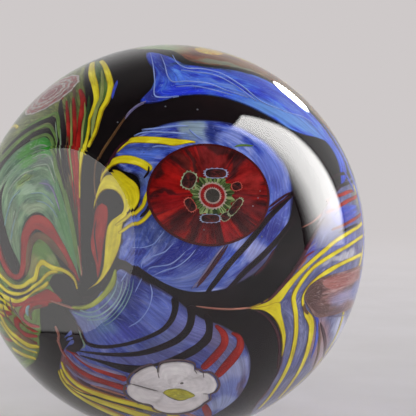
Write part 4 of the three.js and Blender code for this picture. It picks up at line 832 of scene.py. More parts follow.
# Thin lines of glass: slot, tones, and lines that start with their width.
THREADS = {
    "white_threads": ["white", [(104, 126, 190), (146, 164, 214)], [
        [0.4, (-8, 76), (-6.4, 66), (-5.4, 56), (-5, 48.6), (-2, 47.9), (3, 48.6)],
        [0.35, (-4, 75), (-2, 66), (-0.6, 58), (1, 55.6), (6, 56), (14, 55.4), (20, 52.8), (28, 50.6)],
        [0.45, (1, 74), (3, 67), (6, 64), (12, 64), (19, 62.4), (26, 57), (33, 50), (40, 48)],
        [0.35, (4, 62.4), (10, 61.6), (17, 60.6), (24, 56), (31, 49.4)],
        [0.3, (2, 53), (8, 53.6), (14, 52.6), (22, 50.6)],
        [0.3, (36, 49), (44, 47.6), (52, 47.8), (58, 46)],
        [0.4, (-11.5, 32.8), (-9, 33.8), (-6, 34.1), (-2, 33.8), (2, 33.6), (6, 33)],
        [0.5, (-9, 35), (-5, 35.2), (-1, 35.8), (3, 36.2), (6, 36.2)],
        [0.35, (6, 35), (8, 33), (10.4, 31.2)], [0.3, (-5.6, 28.6), (-3.4, 29), (-0.6, 28.6)],
        [0.32, (-8.6, -8.6), (-8.2, -6.6), (-6, -5.4), (-3.4, -4.4), (-1.4, -3.6), (0, -2.2), (1.2, -1)],
        [0.3, (-6.8, -9.8), (-6.2, -8.6), (-3.4, -8), (0, -7.4), (2.6, -5.6), (4.6, -3.6)],
        [0.28, (-9.6, -2.6), (-7, -2.2), (-4.6, -1.2), (-3, 0.8), (-1.6, 2.4)],
        [0.26, (-5.4, -11), (-2, -9.4), (2.2, -8), (5.6, -5.4), (7.6, -3)],
        [0.3, (-13.4, -13.6), (-12, -11.6), (-11.2, -10.4)],
        [0.3, (-10.6, -16), (-9, -12.8), (-8.4, -11.6)],
        [0.32, (-13, -27.4), (-9.4, -25), (-6.4, -20.6), (-5.4, -16), (-6, -13.2)],
        [0.4, (48, -16.4), (52, -19), (55, -22), (60, -23.4), (65, -23.6)],
        [0.45, (51.4, -13.6), (54, -15), (56, -18), (58.4, -19.8), (62, -20), (68, -19.4)],
        [0.4, (58, -13.6), (62, -14.4), (62.6, -16)]]],
    "blue_threads": ["blue", [(40, 50, 150), (70, 92, 196)], [
        [3, (66, 50), (73, 42), (78, 33), (82, 22), (85.4, 10), (87, -2), (87.4, -14), (85, -30)],
        [1.4, (70, 30), (74, 25), (78, 20)], [0.7, (-19.2, 58), (-19.9, 53), (-20.2, 49)],
        [1.6, (60, 9), (68, 11.6), (78, 14)], [1, (62, 7.2), (70, 9.6), (78, 12)],
        [1.4, (50, -24), (54, -30), (56, -38), (56.6, -48)], [1.6, (80, -20.6), (86, -22), (92, -24)]]],
    "teal_threads": ["teal", [(96, 128, 142), (132, 164, 168)], [
        [0.4, (-32, -25.6), (-27, -26.6), (-22, -26), (-17, -22.6), (-14, -18.6), (-12.4, -12.6)],
        [0.35, (-29, -24.8), (-24, -24.8), (-19, -21.6), (-15.6, -17), (-14.4, -12.6)],
        [0.3, (-26, -28), (-20, -26.8), (-14.6, -21.6), (-11.6, -15.6), (-11, -11.6)],
        [1.4, (-52.4, -26.4), (-53.6, -27.6), (-54.3, -29.5), (-53.8, -31.4)],
        [0.4, (-48, 14.5), (-45, 13.8), (-42.5, 12.6), (-40, 10.4), (-38, 7.6)],
        [0.35, (-51, 17.6), (-46, 17.4), (-42.6, 15.6), (-39, 11.6)],
        [0.4, (-66.6, 6), (-64.6, 12), (-62, 17), (-57, 20)], [0.35, (-62, 0), (-60.4, 6), (-57, 12)]]],
    "silver_threads": ["white", [(108, 128, 108), (142, 156, 138)], [
        [0.45, (-51, 32.6), (-47, 33.4), (-44, 33), (-42, 31.4), (-40.6, 29), (-39.4, 25), (-38.2, 21)],
        [0.45, (-51, 28.7), (-47, 28.9), (-44, 28.6), (-42.6, 28), (-41.4, 25.6), (-40.4, 23.2),
         (-39, 20)],
        [0.5, (-65.4, 20), (-63, 23), (-60, 25), (-55, 27), (-50, 27.5)],
        [0.4, (-62, -2), (-62.4, 2), (-61, 7), (-60, 12)], [0.4, (-61, 3), (-58.6, 9), (-56.6, 13)],
        [0.5, (-31.9, -30.1), (-29.2, -32.8), (-28.4, -35.6), (-30.2, -36.6)],
        [0.4, (-38.6, 39.2), (-37.6, 34.9), (-36.4, 29)],
        [0.4, (-41.3, 42.4), (-39.5, 36.4), (-37.6, 29)], [0.6, (-61, -41), (-56, -42.2), (-50, -42)]]],
    "lavender_threads": ["lavender", [(96, 90, 130), (134, 126, 158)], [
        [0.6, (-47, 21.4), (-44, 20.7), (-42, 20), (-40, 17.6), (-38.4, 14), (-37, 10)],
        [0.9, (-36.6, -39.4), (-33, -43.6), (-28, -46.6), (-22, -48.4), (-15.6, -50)],
        [1.1, (-33, -39.4), (-28, -42.6), (-22, -44.2), (-15, -46)],
        [1.2, (-37.4, -45), (-34, -49.4), (-29, -51.6), (-22, -52.6), (-15.4, -54.6)],
        [0.5, (-8, 46.4), (-11, 44.6), (-13.3, 42.2), (-15, 39.4)],
        [0.6, (6.4, -15), (9, -12), (12.6, -6.6), (16.4, -1.6)],
        [0.5, (42, -7.6), (46, -3.6), (50, -0.6)], [0.6, (60, -29.6), (68, -31), (77, -32.6)]]],
    "umber_threads": ["brown", [(70, 44, 34), (112, 82, 50)], [
        [2.6, (-33.4, -9), (-37.5, -4.6), (-42, -0.4), (-46.5, 1.4), (-50, -0.6), (-51.6, -5),
         (-52.3, -10), (-53.6, -14)],
        [0.45, (-13.3, 42.2), (-15.7, 38.4), (-18.1, 34), (-20.5, 29.8), (-22.2, 26.4), (-23, 20),
         (-22.4, 11)],
        [1.2, (-38.4, 60), (-36.4, 56), (-35.4, 52)], [1, (-34.6, 35), (-34.2, 30), (-33, 24), (-32, 18)],
        [1.2, (-45.6, -25), (-50, -27), (-52.6, -30), (-52, -33)],
        [1.4, (-64.7, -25), (-64.3, -29.1), (-60.7, -33.5), (-55.3, -37), (-49.1, -38.4)],
        [1.2, (54.4, -30), (57.6, -38), (60.4, -46), (62.4, -55), (63.4, -64)],
        [1.2, (77, -12), (82, -12.6), (90, -13), (98, -13)], [1.2, (46, -22), (46.4, -24), (48.6, -26.4)],
        [1, (62, 62), (58, 65), (50, 69), (42, 72)]]],
    "maroon_threads": ["maroon", [(46, 20, 32), (72, 30, 42)], [
        [0.7, (39.4, 15.5), (35, 12.8), (30.9, 9.9)], [0.6, (39.3, 14.2), (35, 11.6), (30.8, 8.6)],
        [0.8, (17.5, -1.7), (15.2, -5), (12.4, -8.9), (9.7, -12.4), (7.8, -14.7)],
        [0.5, (16.6, -1.8), (13.8, -5.6), (10.8, -10), (8, -13.6)],
        [1, (54, 7.6), (50, 3), (46.4, -2), (43, -7), (40, -11), (36, -15.4), (31.6, -19.4), (28, -20.8)],
        [0.8, (27, -22.4), (31, -24.8), (34.4, -28.6), (37, -33.4), (38.6, -40), (39.4, -48)],
        [0.8, (33, -3), (30, -7.6), (26, -11.4)], [0.7, (-32, -29), (-29.4, -31.4), (-27.4, -34)],
        [0.8, (-12.6, 31.8), (-15.4, 29.6), (-17.6, 26.6), (-19.8, 22)],
        [1.4, (-34, -49.8), (-29.6, -53), (-24, -54.8), (-16, -57.4)],
        [1.6, (56, -31), (62, -40), (68, -52), (71, -62)], [1.4, (77, -28.6), (84, -29.4), (92, -31)],
        [0.5, (-22.4, 6.6), (-23.2, 2), (-22.6, -3), (-21.8, -8)]]],
    "rose_threads": ["pink", [(140, 84, 74), (176, 120, 104)], [
        [0.35, (8, -20.4), (13, -21.2), (19, -21.7), (26, -21.6)],
        [0.4, (-40, -33), (-38.6, -36), (-38, -39), (-36.5, -41.5)],
        [0.4, (-42, -22.4), (-36.6, -23.4), (-31, -24.4)], [0.6, (-29.6, -2), (-28.8, -8), (-28, -13)],
        [1, (56, -14), (62, -13.4), (70, -13)], [0.4, (42, -10), (44, -8), (45.6, -6.4)],
        [0.3, (44, 4), (48.6, 6), (53, 9)], [0.8, (55, -26), (62, -27), (70, -27)],
        [0.7, (-16, -56.2), (-22, -54.4), (-29, -52.6)], [1, (5, -65.6), (8, -67), (11, -69.6)]]],
    "leaf_threads": ["green", [(62, 92, 40), (104, 132, 64)], [
        [1.7, (-41, 35.6), (-39.6, 31), (-38.8, 26), (-36, 19), (-34, 13), (-32.4, 7), (-31.3, 2),
         (-30, -5), (-28.4, -12)],
        [1.3, (-60, 43), (-54, 44.6), (-49.7, 45.6), (-44.8, 46.2), (-42.2, 46.6), (-40.6, 43.9),
         (-39.2, 39.4), (-37.8, 34)],
        [1, (-62, 38), (-54, 40.4), (-48.4, 41.4), (-45.5, 41.6), (-43.4, 40.6), (-41.6, 38.5),
         (-39.6, 35.2), (-38.3, 31.1)],
        [2.4, (-70, 31.5), (-64, 35), (-58, 38.6), (-52, 40.4)],
        [1.2, (-52, 36.8), (-46.3, 37.4), (-44.5, 37.4), (-43, 36.7), (-41.3, 34.7), (-39.8, 31.3)],
        [1.2, (-66, -31), (-62, -33), (-58, -35)], [1.8, (-59, 23), (-55, 24.4), (-51, 25.4)],
        [0.6, (20.6, 29.6), (23, 30.2), (27, 30.4)]]],
    "sage_threads": ["green", [(104, 116, 58), (140, 148, 84)], [
        [0.6, (-36.5, 50.6), (-34.9, 44), (-33.7, 37.4), (-32.6, 29.5), (-31.4, 20)],
        [0.7, (-30.4, 49), (-29.2, 42.5), (-29.3, 38), (-29, 32.9), (-28.9, 27)],
        [1.2, (-27, 67.4), (-24.8, 56.7), (-24.3, 49.9), (-25.2, 45.4), (-25.6, 40.3), (-25.8, 33)]]],
    "pine_threads": ["green", [(26, 44, 24), (50, 76, 36)], [
        [1, (-29.2, 52), (-28.4, 45.9), (-28.4, 41.5), (-28.2, 36.6), (-28.3, 31)]]],
    "amber_threads": ["yellow", [(150, 92, 24), (188, 128, 44)], [
        [0.6, (-38, -47.4), (-36, -51), (-33.4, -53.4), (-30, -54.9), (-24, -56.4), (-18, -57.8),
         (-12, -59.5)],
        [0.6, (-39.4, -51.4), (-37, -55.2), (-33, -57.5), (-27, -59.5), (-20, -61.5), (-13, -64)],
        [0.5, (-38.4, -58), (-34, -61), (-28, -64.2), (-22, -67.4), (-16, -70.6)]]],
    "dark_threads": ["black", [(20, 13, 18), (38, 26, 32)], [
        [3.2, (-36, -25.4), (-33.4, -29), (-31, -32.2), (-30.6, -35), (-32.6, -37), (-36, -37.6)],
        [0.8, (-38.4, 34), (-37.8, 29), (-36.6, 24), (-34.6, 17)],
        [0.9, (-36.4, 34), (-35.8, 28), (-34.2, 20)], [0.8, (-34.4, 33), (-34, 28), (-32.6, 22)],
        [1.5, (-6.6, 12), (-4, 14.6), (-1, 16), (1.6, 15.4)], [0.9, (-9, 6.6), (-7, 8.4), (-5.8, 11)],
        [0.6, (-8, 18.4), (-6.6, 20.4), (-6.4, 22.4)], [0.8, (-30, -16), (-27.6, -12), (-26.4, -6)],
        [0.8, (-33, -58), (-26, -59.6), (-18, -61.4), (-10, -64)],
        [0.6, (-39.6, -55), (-35, -58), (-28, -59.4)],
        [0.7, (-37, -59.4), (-31, -62.2), (-22, -65.2), (-14, -68.6)],
        [1, (-66, -20.8), (-58, -20.8), (-51, -18)],
        [1, (-70, -23.6), (-62, -24.4), (-55, -22.4), (-49, -19)],
        [0.9, (62, 2.4), (70, 4.6), (78, 6.6)]]],
}

# Lines that follow a field, on the back and where the front's fields go round to it:
# field, share across it, start and end along it, width, colour.
BACK_LINES = [
    ("blue_field_back", 0.2, 0.04, 0.8, 1.7, "yellow"),
    ("blue_field_back", 0.38, 0.1, 0.94, 0.6, "white"),
    ("blue_field_back", 0.55, 0.03, 0.9, 1.6, "black"),
    ("blue_field_back", 0.66, 0.2, 0.97, 0.5, "white"), ("blue_field_back", 0.82, 0.06, 0.9, 2, "red"),
    ("lavender_field_back", 0.14, 0.03, 0.96, 1.9, "yellow"),
    ("lavender_field_back", 0.3, 0.1, 0.9, 0.6, "white"),
    ("lavender_field_back", 0.42, 0.04, 0.95, 1.5, "black"),
    ("lavender_field_back", 0.55, 0.12, 0.9, 2.2, "red"),
    ("lavender_field_back", 0.68, 0.04, 0.92, 0.6, "white"),
    ("lavender_field_back", 0.84, 0.06, 0.96, 2.1, "yellow"),
    ("green_field_back", 0.93, 0.1, 0.9, 1, "yellow"),
    ("lavender_field_right", 0.55, 0.05, 0.95, 1.8, "yellow"),
    ("lavender_field_right", 0.72, 0.1, 0.9, 1.4, "red"),
    ("lavender_field_right", 0.86, 0.04, 0.92, 1.6, "black"),
    ("green_field_left", 0.62, 0.45, 0.97, 1.6, "red"),
    ("green_field_left", 0.4, 0.5, 0.95, 1.3, "yellow"),
    ("green_field_left", 0.8, 0.5, 0.95, 1.2, "black"), ("green_field_crown", 0.3, 0.6, 0.97, 1.5, "red"),
    ("green_field_crown", 0.62, 0.76, 0.95, 1.6, "yellow"),
    ("maroon_field_top", 0.45, 0.08, 0.92, 1.4, "yellow"),
    ("maroon_field_top", 0.75, 0.1, 0.9, 1.2, "red"),
]
# Stringers that the back's green field has as well, on the back map.
BACK_REPEATS = ("black_stripe_front_upper", "black_stripe_front_lower", "yellow_stringer_upper",
                "yellow_fork_left")


def build_fields():
    for step, (name, (chart, slot, sides, tones, spots, settings)) in enumerate(FIELDS.items()):
        material = marbled(name + "_marbling", tones, spots=spots, **settings)
        sheet = field_shell(chart, *sides, outer=FIELD + LIFT * step)
        make_object(name + "_glass", [sheet], material, (name,))


def along_field(name, share, start, end, width):
    """A line of [x, y, width] points that sways along a field, part way across it."""
    sides = FIELDS[name][2]
    part = np.linspace(start, end, 14)
    a, b = (smooth_line(side, part)[0][:, :2] for side in sides)
    sway = share + 0.04 * np.sin(part * 14 + share * 9)
    places = a * (1 - sway[:, None]) + b * sway[:, None]
    return [[x, y, width] for x, y in places]


def build_stringers():
    step = 0
    for colour, lines in STRINGERS.items():
        tones, rim = STRINGER_LOOKS[colour]
        material = pulled(colour + "_pulled_glass", tones, rim=rim)
        for name, branches in lines.items():
            shells = [branch_shell(FRONT, branch, STRINGER + LIFT * (step + k / 3))
                      for k, branch in enumerate(branches)]
            nodes = (name,) if name in frame["nodes"] else ()
            make_object(name + "_glass", shells, material, nodes)
            step += 1
        repeated = [branch_shell(BACK, branch, STRINGER + LIFT * (step + k / 3))
                    for k, branch in enumerate(b for name in BACK_REPEATS for b in lines.get(name, []))]
        repeated += [line_shell(FIELDS[name][0], along_field(name, *place), STRINGER + LIFT * (step + 1))
                     for name, *place, wanted in BACK_LINES if wanted == colour]
        if repeated:
            make_object(colour + "_stringers_back", repeated, material)
            step += 2


def build_threads():
    for step, (name, (slot, tones, lines)) in enumerate(THREADS.items()):
        material = pulled(name + "_glass", tones)
        shells = [line_shell(FRONT, [[x, y, width] for x, y in points], THREAD + LIFT * step, tapered=True)
                  for width, *points in lines]
        if slot == "white":
            shells += [line_shell(FIELDS[field][0], along_field(field, *place), THREAD, tapered=True)
                       for field, *place, wanted in BACK_LINES if wanted == slot]
        make_object(name, shells, material)


# ---- Murrine ------------------------------------------------------------------------------------
RED_AT = (12.2, 13.9, 19.2, 16, 0)
RED_EYE = (12.8, 13.1, 1, 0.97, 0)           # rings around the eye are given in degrees
WEDGE_STRENGTH = 0.85
PINK_AT = (-50, 60.6, 14.6, 10, 16)
YELLOW_AT = (17, 82.6, 6.4, 5, 8)
BACK_AT = (13, 12.5, 16.5, 14, 0)
FLOWER = [[-5.4, -41.4], [-9.4, -43], [-12.6, -46.2], [-13.6, -48.8], [-13.4, -49.8], [-14.7, -51],
          [-15, -54.4], [-12.6, -57.8], [-8.6, -59.6], [-6.4, -60.4], [-5.4, -62.4], [-1.6, -64.6],
          [3, -65], [7.6, -63.8], [10.6, -61.4], [12, -59.4], [13.8, -57.4], [13.6, -54.8], [15.4, -53.6],
          [16.2, -50.6], [15, -47.2], [12.6, -44.8], [10.6, -44.6], [9.4, -43.6], [8, -43], [7.6, -41.2],
          [5, -40], [1, -39.7], [-2.4, -40.4], [-3.4, -41.8], [-4, -44]]
FLOWER_HEART = [[-2.4, -53], [-0.6, -51.4], [3, -51], [6, -52.3], [8.8, -54.8], [6.5, -56.3], [3.5, -57.2],
                [0.5, -55.6], [-1.5, -54.2]]


def wedge(angle, spread, shade, reach=0.68, long=0.3):
    """A soft patch of colour that points out from the middle of the red murrina."""
    x, y, half_width, half_height, _ = RED_AT
    turn = math.radians(angle)
    return (x + half_width * reach * math.cos(turn), y + half_height * reach * math.sin(turn),
            half_width * long, half_height * reach * math.radians(spread), angle, WEDGE_STRENGTH, shade)


RED_WEDGES = [wedge(163, 14, (128, 15, 14), reach=0.74), wedge(196, 14, (116, 14, 18)),
              wedge(20, 15, (126, 34, 32)), wedge(36, 8, (118, 24, 24)), wedge(88, 22, (104, 30, 30)),
              wedge(127, 9, (60, 24, 22), reach=0.78), wedge(147, 8, (128, 16, 14), reach=0.74),
              wedge(52, 9, (36, 26, 28), reach=0.79), wedge(228, 12, (52, 20, 22)),
              wedge(250, 10, (42, 20, 22), reach=0.76), wedge(264, 6, (84, 26, 28)),
              wedge(277, 5, (38, 18, 20), reach=0.8), wedge(291, 6, (134, 22, 26), reach=0.79),
              wedge(316, 12, (52, 26, 28)), wedge(340, 14, (92, 30, 32)), wedge(112, 5, (44, 26, 26)),
              wedge(182, 3, (40, 16, 18), reach=0.8), wedge(78, 20, (46, 24, 24), reach=0.92, long=0.07),
              wedge(150, 9, (50, 22, 22), reach=0.95, long=0.06)]
# node: [chart, place, slot, tones, inner share, outer share, lobes, depth of the lobes, settings],
# from the top of the layer to its bottom.
RINGS = {
    "red_murrina_core": [FRONT, RED_EYE, "black", [(48, 44, 42), (66, 62, 58)], 0, 2.25, 0, 0, {}],
    "red_murrina_red_ring": [FRONT, RED_EYE, "red", [(104, 22, 24), (140, 34, 34)], 2.6, 3.8, 0, 0, {}],
    "red_murrina_green_ring": [FRONT, RED_EYE, "green", [(34, 46, 26), (78, 96, 50), (122, 136, 92)],
        3.6, 7, 16, 0.08, {"contrast": 1.8, "fine": 0.4}],
    "red_murrina_body": [FRONT, RED_AT, "red", [(48, 16, 18), (88, 16, 18), (118, 18, 18), (140, 28, 22)],
        0.25, 0.955, 0, 0, {"spots": RED_WEDGES, "fine": 0.5, "along": 1.1, "across": 16, "contrast": 1.5}],
    "red_murrina_rim": [FRONT, RED_AT, "maroon", [(44, 14, 18), (62, 18, 20), (80, 18, 20)], 0.93, 1, 0, 0,
        {"along": 9}],
    "pink_murrina_centre": [FRONT, PINK_AT, "red", [(88, 34, 44), (116, 52, 62), (146, 88, 92)],
        0, 0.42, 9, 0.08, {"across": 1.2}],
    "pink_murrina_petals": [FRONT, PINK_AT, "pink", [(112, 98, 94), (140, 122, 120), (160, 146, 142)],
        0.2, 0.98, 13, 0.05, {"across": 1.2, "contrast": 1.3}],
    "yellow_murrina": [FRONT, YELLOW_AT, "yellow", [(150, 92, 20), (176, 140, 34), (186, 172, 60)],
        0, 1, 0, 0, {}],
    "back_murrina_centre": [BACK, BACK_AT, "yellow", [(160, 140, 20), (196, 180, 40)], 0, 0.3, 7, 0.06, {}],
    "back_murrina_petals": [BACK, BACK_AT, "white", [(146, 140, 138), (176, 170, 166)],
        0.2, 0.86, 8, 0.06, {}],
    "back_murrina_rim": [BACK, BACK_AT, "maroon", [(40, 12, 14), (66, 18, 20)], 0.8, 1, 0, 0, {}],
}
# Small canes inside the red murrina: (x, y, half width, half height, turn), colour of the outline.
PALE_BLUE = [(88, 98, 130), (150, 158, 184)]
PALE_GREEN = [(80, 96, 70), (156, 164, 136)]
ROSE = [(140, 44, 38), (176, 96, 84)]
WINDOWS = {
    "blue": [PALE_BLUE, [(14, 20.1, 4, 1.75, 2), (12, 6.2, 3.4, 1.45, 0)]],
    "green": [PALE_GREEN, [(5.7, 17.7, 2.4, 3.1, -24), (19.8, 9.8, 3.8, 1.3, 50), (16.6, 6.8, 1.7, 1.4, 30)]],
    "rose": [ROSE, [(6, 10.2, 2.5, 1.6, -58), (20.4, 16.2, 1.9, 1.5, 18)]],
}
FAN_OUTER = ([[45.4, -18.4], [47.6, -15.8], [52, -13.7], [58, -12.9], [66, -12.3], [76, -11.6], [84, -11]],
             [[45.6, -20.4], [48.6, -24], [52.6, -28], [59, -29], [68, -29.6], [77, -30.4], [85, -31]])
FAN_INNER = ([[53, -14.3], [58, -13.6], [65, -13.2], [76, -12.6], [83, -12]],
             [[54.6, -17], [60, -18.4], [67, -18.2], [76, -17.6], [83, -17.4]])


def build_murrine():
    for step, (node, (chart, at, slot, tones, *shape, settings)) in enumerate(RINGS.items()):
        look = {"along": 2.2, "across": 9, "fine": 0.16, **settings}
        radius = MURRINA + LIFT * (len(RINGS) + 1 - step)
        make_object(node + "_glass", [ring_shell(chart, at, *shape, radius)],
                    marbled(node + "_cane", tones, **look), (node,))
    red_murrina_canes()
    rosette_lines()
    flower_murrina()
    fan_murrina()


def red_murrina_canes():
    """The window-shaped canes around the eye, and the serrated white rings of the eye itself."""
    top = DETAIL + 2 * LIFT
    for name, (tones, places) in WINDOWS.items():
        nodes = ("red_murrina_window_ring",) if name == "blue" else ()
        make_object(f"red_murrina_{name}_windows",
                    [ring_shell(FRONT, at, 0.8, 1, 15, 0.07, top, square=2.8) for at in places],
                    pulled(f"{name}_window_outline", tones, fine=0.3), nodes)
    make_object("red_murrina_window_middles",
                [ring_shell(FRONT, at, 0, 0.86, 0, 0, DETAIL, square=2.8)
                 for _, places in WINDOWS.values() for at in places],
                marbled("window_middle_glass", [(26, 22, 22), (58, 30, 30), (96, 34, 30)], 14, 1.6, 1.4))
    make_object("red_murrina_white_rings",
                [ring_shell(FRONT, RED_EYE, 2.15, 2.75, 26, 0.06, top),
                 ring_shell(FRONT, RED_EYE, 3.75, 4.5, 26, 0.05, top)],
                pulled("serrated_white_glass", [(140, 118, 112), (166, 146, 138)]))
    sides = [(RED_EYE[0] + 5 * math.cos(a), RED_EYE[1] + 5 * math.sin(a), 0.9, 0.16, math.degrees(a))
             for a in (2 * math.pi * k / 24 for k in range(24))]
    make_object("red_murrina_green_rays", [ring_shell(FRONT, at, 0, 1, outer=DETAIL - LIFT) for at in sides],
                pulled("green_ray_glass", [(32, 44, 24), (56, 66, 36)]))


def rosette_lines():
    """The wavy white and red lines of the pink murrina."""
    for name, slot, tones, shares in (
            ("white", "white", [(150, 142, 138), (176, 168, 164)], (0.24, 0.5, 0.68, 0.95)),
            ("red", "red", [(120, 44, 52), (160, 96, 96)], (0.14, 0.4, 0.6, 0.79, 0.87))):
        rings = [ring_shell(FRONT, PINK_AT, share, share + 0.05, 13, 0.05 + 0.12 * (1 - share),
                            DETAIL + LIFT * step, share) for step, share in enumerate(shares)]
        glass = pulled(f"rosette_{name}_glass", tones, fine=0.3)
        make_object(f"pink_murrina_{name}_lines", rings, glass)


def flower_murrina():
    """The white flower: petals with clefts and painted grey shade for their relief, an olive heart, and a
    thin brown line around it all.
    """
    whites = [(186, 178, 180), (204, 198, 200), (216, 210, 212), (226, 222, 222)]
    # Painted shade: the grey rim along the petals' edges and the grey streak beside the left cleft stand in
    # for the shading of the petals' relief.
    make_object("white_murrina_petals_glass", [slice_shell(FRONT, FLOWER)],
                marbled("petal_cane", whites, 6, 3, fine=0.08, rim=(0.7, 0.6, (146, 136, 138)),
                        spots=[(3, -61, 8, 2.6, 0, 0.4, (228, 220, 220)),
                               (-9, -50.4, 7, 1, -18, 0.5, (164, 156, 158))]),
                ("white_murrina_petals",))
    make_object("white_murrina_centre_glass", [slice_shell(FRONT, FLOWER_HEART, outer=DETAIL)],
                marbled("heart_cane", [(146, 138, 42), (176, 168, 54), (200, 190, 62)], 9, 2,
                        rim=(0.7, 0.8, (112, 112, 48)), spots=[(5, -56, 3, 1.2, -20, 0.6, (136, 136, 54))]),
                ("white_murrina_centre",))
    make_object("white_murrina_rim", [slice_shell(FRONT, FLOWER, 0.955, MURRINA - LIFT, 1.09)],
                pulled("flower_rim_glass", [(74, 54, 60), (104, 84, 88)]))
    clefts = [[0.5, (-13.6, -49.4), (-10, -50.4), (-6, -51.8), (-4, -52.4)], [0.7, (-4, -44), (-3.9, -41.6)],
              [0.3, (11, -44.4), (11.4, -46.6)], [0.3, (13.8, -54.6), (11.6, -54.2)],
              [0.3, (8, -43), (9, -44.6)],
              [0.3, (-12, -60), (-8.4, -59.4), (-6.4, -60.2)], [0.8, (3.4, -48.7), (4.6, -48.5)],
              [0.3, (-4, -44), (-3.6, -46.4)], [0.3, (-2.6, -53), (0, -55.6), (3.4, -57.3), (6, -56.8)]]
    make_object("white_murrina_clefts",
                [line_shell(FRONT, [[x, y, width] for x, y in points], DETAIL + LIFT, tapered=True)
                 for width, *points in clefts],
                pulled("cleft_glass", [(84, 78, 76), (108, 102, 100)]))


def fan_murrina():
    """A murrina at the right that the maker drew out into a fan."""
    browns = [(70, 48, 46), (98, 66, 64), (130, 92, 90), (164, 134, 132)]
    make_object("brown_murrina_rim_glass", [field_shell(FRONT, *FAN_OUTER, MURRINA, 0.05, 0.1)],
                marbled("fan_outer_cane", browns, 14, 0.9, spots=[
                    (50, -20, 4, 4, 0, 0.9, (66, 44, 42)), (55, -25, 6, 3, -30, 0.8, (84, 60, 58)),
                    (70, -23, 9, 3, 0, 0.75, (140, 138, 176)), (68, -28, 8, 1.2, 0, 0.6, (96, 72, 88)),
                    (81, -22, 6, 4, 0, 0.9, (84, 96, 156)),
                    (80, -12, 6, 1.6, 0, 0.9, (116, 78, 58))], hairs=(0.5, (176, 160, 160))),
                ("brown_murrina_rim",))
    make_object("brown_murrina_centre_glass", [field_shell(FRONT, *FAN_INNER, MURRINA + LIFT, 0.1, 0.2)],
                marbled("fan_inner_cane", [(120, 60, 58), (146, 92, 88), (166, 128, 124)], 14, 0.9, spots=[
                    (80, -15, 4, 2.6, 0, 0.95, (116, 44, 36))], hairs=(0.5, (186, 170, 164))),
                ("brown_murrina_centre",))


# ---- Stage ---------------------------------------------------------------------------------------
BACKDROP = tone(206, 201, 201)
TABLE_RADIUS = 4.0
FADE_START, FADE_END = 0.1, 0.5      # how far from the ball the table turns into the backdrop


def direction(azimuth, elevation):
    """The unit vector that many degrees to the right of the front and above level."""
    a, e = math.radians(azimuth), math.radians(elevation)
    return Vector((math.sin(a) * math.cos(e), -math.cos(a) * math.cos(e), math.sin(e)))


def lamp(name, azimuth, elevation, distance, size, watts):
    """A soft lamp that lights the glass but isn't mirrored in it."""
    data = bpy.data.lights.new(name, "AREA")
    data.shape = "DISK"
    data.size = size
    data.energy = watts
    made = bpy.data.objects.new(name, data)
    bpy.context.scene.collection.objects.link(made)
    made.location = CENTRE + direction(azimuth, elevation) * distance
    made.rotation_mode = "QUATERNION"
    made.rotation_quaternion = direction(azimuth, elevation).to_track_quat("Z", "Y")
    made.visible_glossy = False
    made.visible_camera = False


def glow_panel(name, outer, inner, distance, strength, soft):
    """A glowing sheet between two lines of directions that run upwards, mirrored in the crystal.

    soft gives the share of the sheet that fades at its bottom, top, outer and inner edges."""
    steps, across = 48, 12
    u, v = np.linspace(0, 1, steps), np.linspace(0, 1, across)
    a, b = (smooth_line(side, u)[0][:, None, :2] for side in (outer, inner))
    grid = (a * (1 - v[:, None]) + b * v[:, None]).reshape(-1, 2)
    index = np.arange(steps * across).reshape(steps, across)
    faces = np.stack([index[:-1, :-1], index[1:, :-1], index[1:, 1:], index[:-1, 1:]], -1).reshape(-1, 4)
    mesh = bpy.data.meshes.new(name)
    mesh.from_pydata([tuple(CENTRE + direction(*place) * distance) for place in grid], [], faces.tolist())
    places = np.stack(np.meshgrid(u, v, indexing="ij"), -1).reshape(-1, 2)[faces.reshape(-1)]
    mesh.uv_layers.new(name="panel").data.foreach_set("uv", places.astype(np.float32).ravel())
    shader = Shader(name)
    split = shader.add("ShaderNodeSeparateXYZ", {0: shader.layer("panel")})
    bottom, top, left, right = soft
    glow = shader.remap(split.outputs[0], 0.0, bottom, 0.0, strength)
    for axis, low, high in ((0, 1.0, 1 - top), (1, 0.0, left), (1, 1.0, 1 - right)):
        glow = shader.math("MULTIPLY", glow, shader.remap(split.outputs[axis], low, high, 0.0, 1.0))
    emission = shader.add("ShaderNodeEmission", {"Color": (1.0, 0.985, 0.975, 1), "Strength": glow})
    shader.tree.links.new(emission.outputs[0], shader.tree.nodes["Material Output"].inputs["Surface"])
    panel = put_in_scene(name, mesh, shader.material)
    panel.visible_camera = False
    panel.visible_diffuse = False
    panel.visible_shadow = False


def floor():
    """A pale table that fades into the backdrop away from the ball."""
    shader = Shader("pale_table")
    place = shader.add("ShaderNodeTexCoord").outputs["Object"]
    far = shader.add("ShaderNodeVectorMath", {0: place}, operation="LENGTH").outputs["Value"]
    fade = shader.remap(far, FADE_START, FADE_END, 0.0, 1.0)
    emission = shader.add("ShaderNodeEmission", {"Color": BACKDROP, "Strength": 1.0})
    grain = shader.noise(place, 3, 0.5, 0.0, 40.0)
    shader.finish(shader.ramp(grain, [(0.3, tone(234, 230, 232)), (0.7, tone(240, 236, 239))]), 0.5)
    blend = shader.add("ShaderNodeMixShader", {0: fade, 1: shader.surface.outputs[0], 2: emission.outputs[0]})
    shader.tree.links.new(blend.outputs[0], shader.tree.nodes["Material Output"].inputs["Surface"])
    edit = bmesh.new()
    bmesh.ops.create_circle(edit, cap_ends=True, segments=96, radius=TABLE_RADIUS)
    table = put_in_scene("table", mesh_from("table", edit), shader.material)


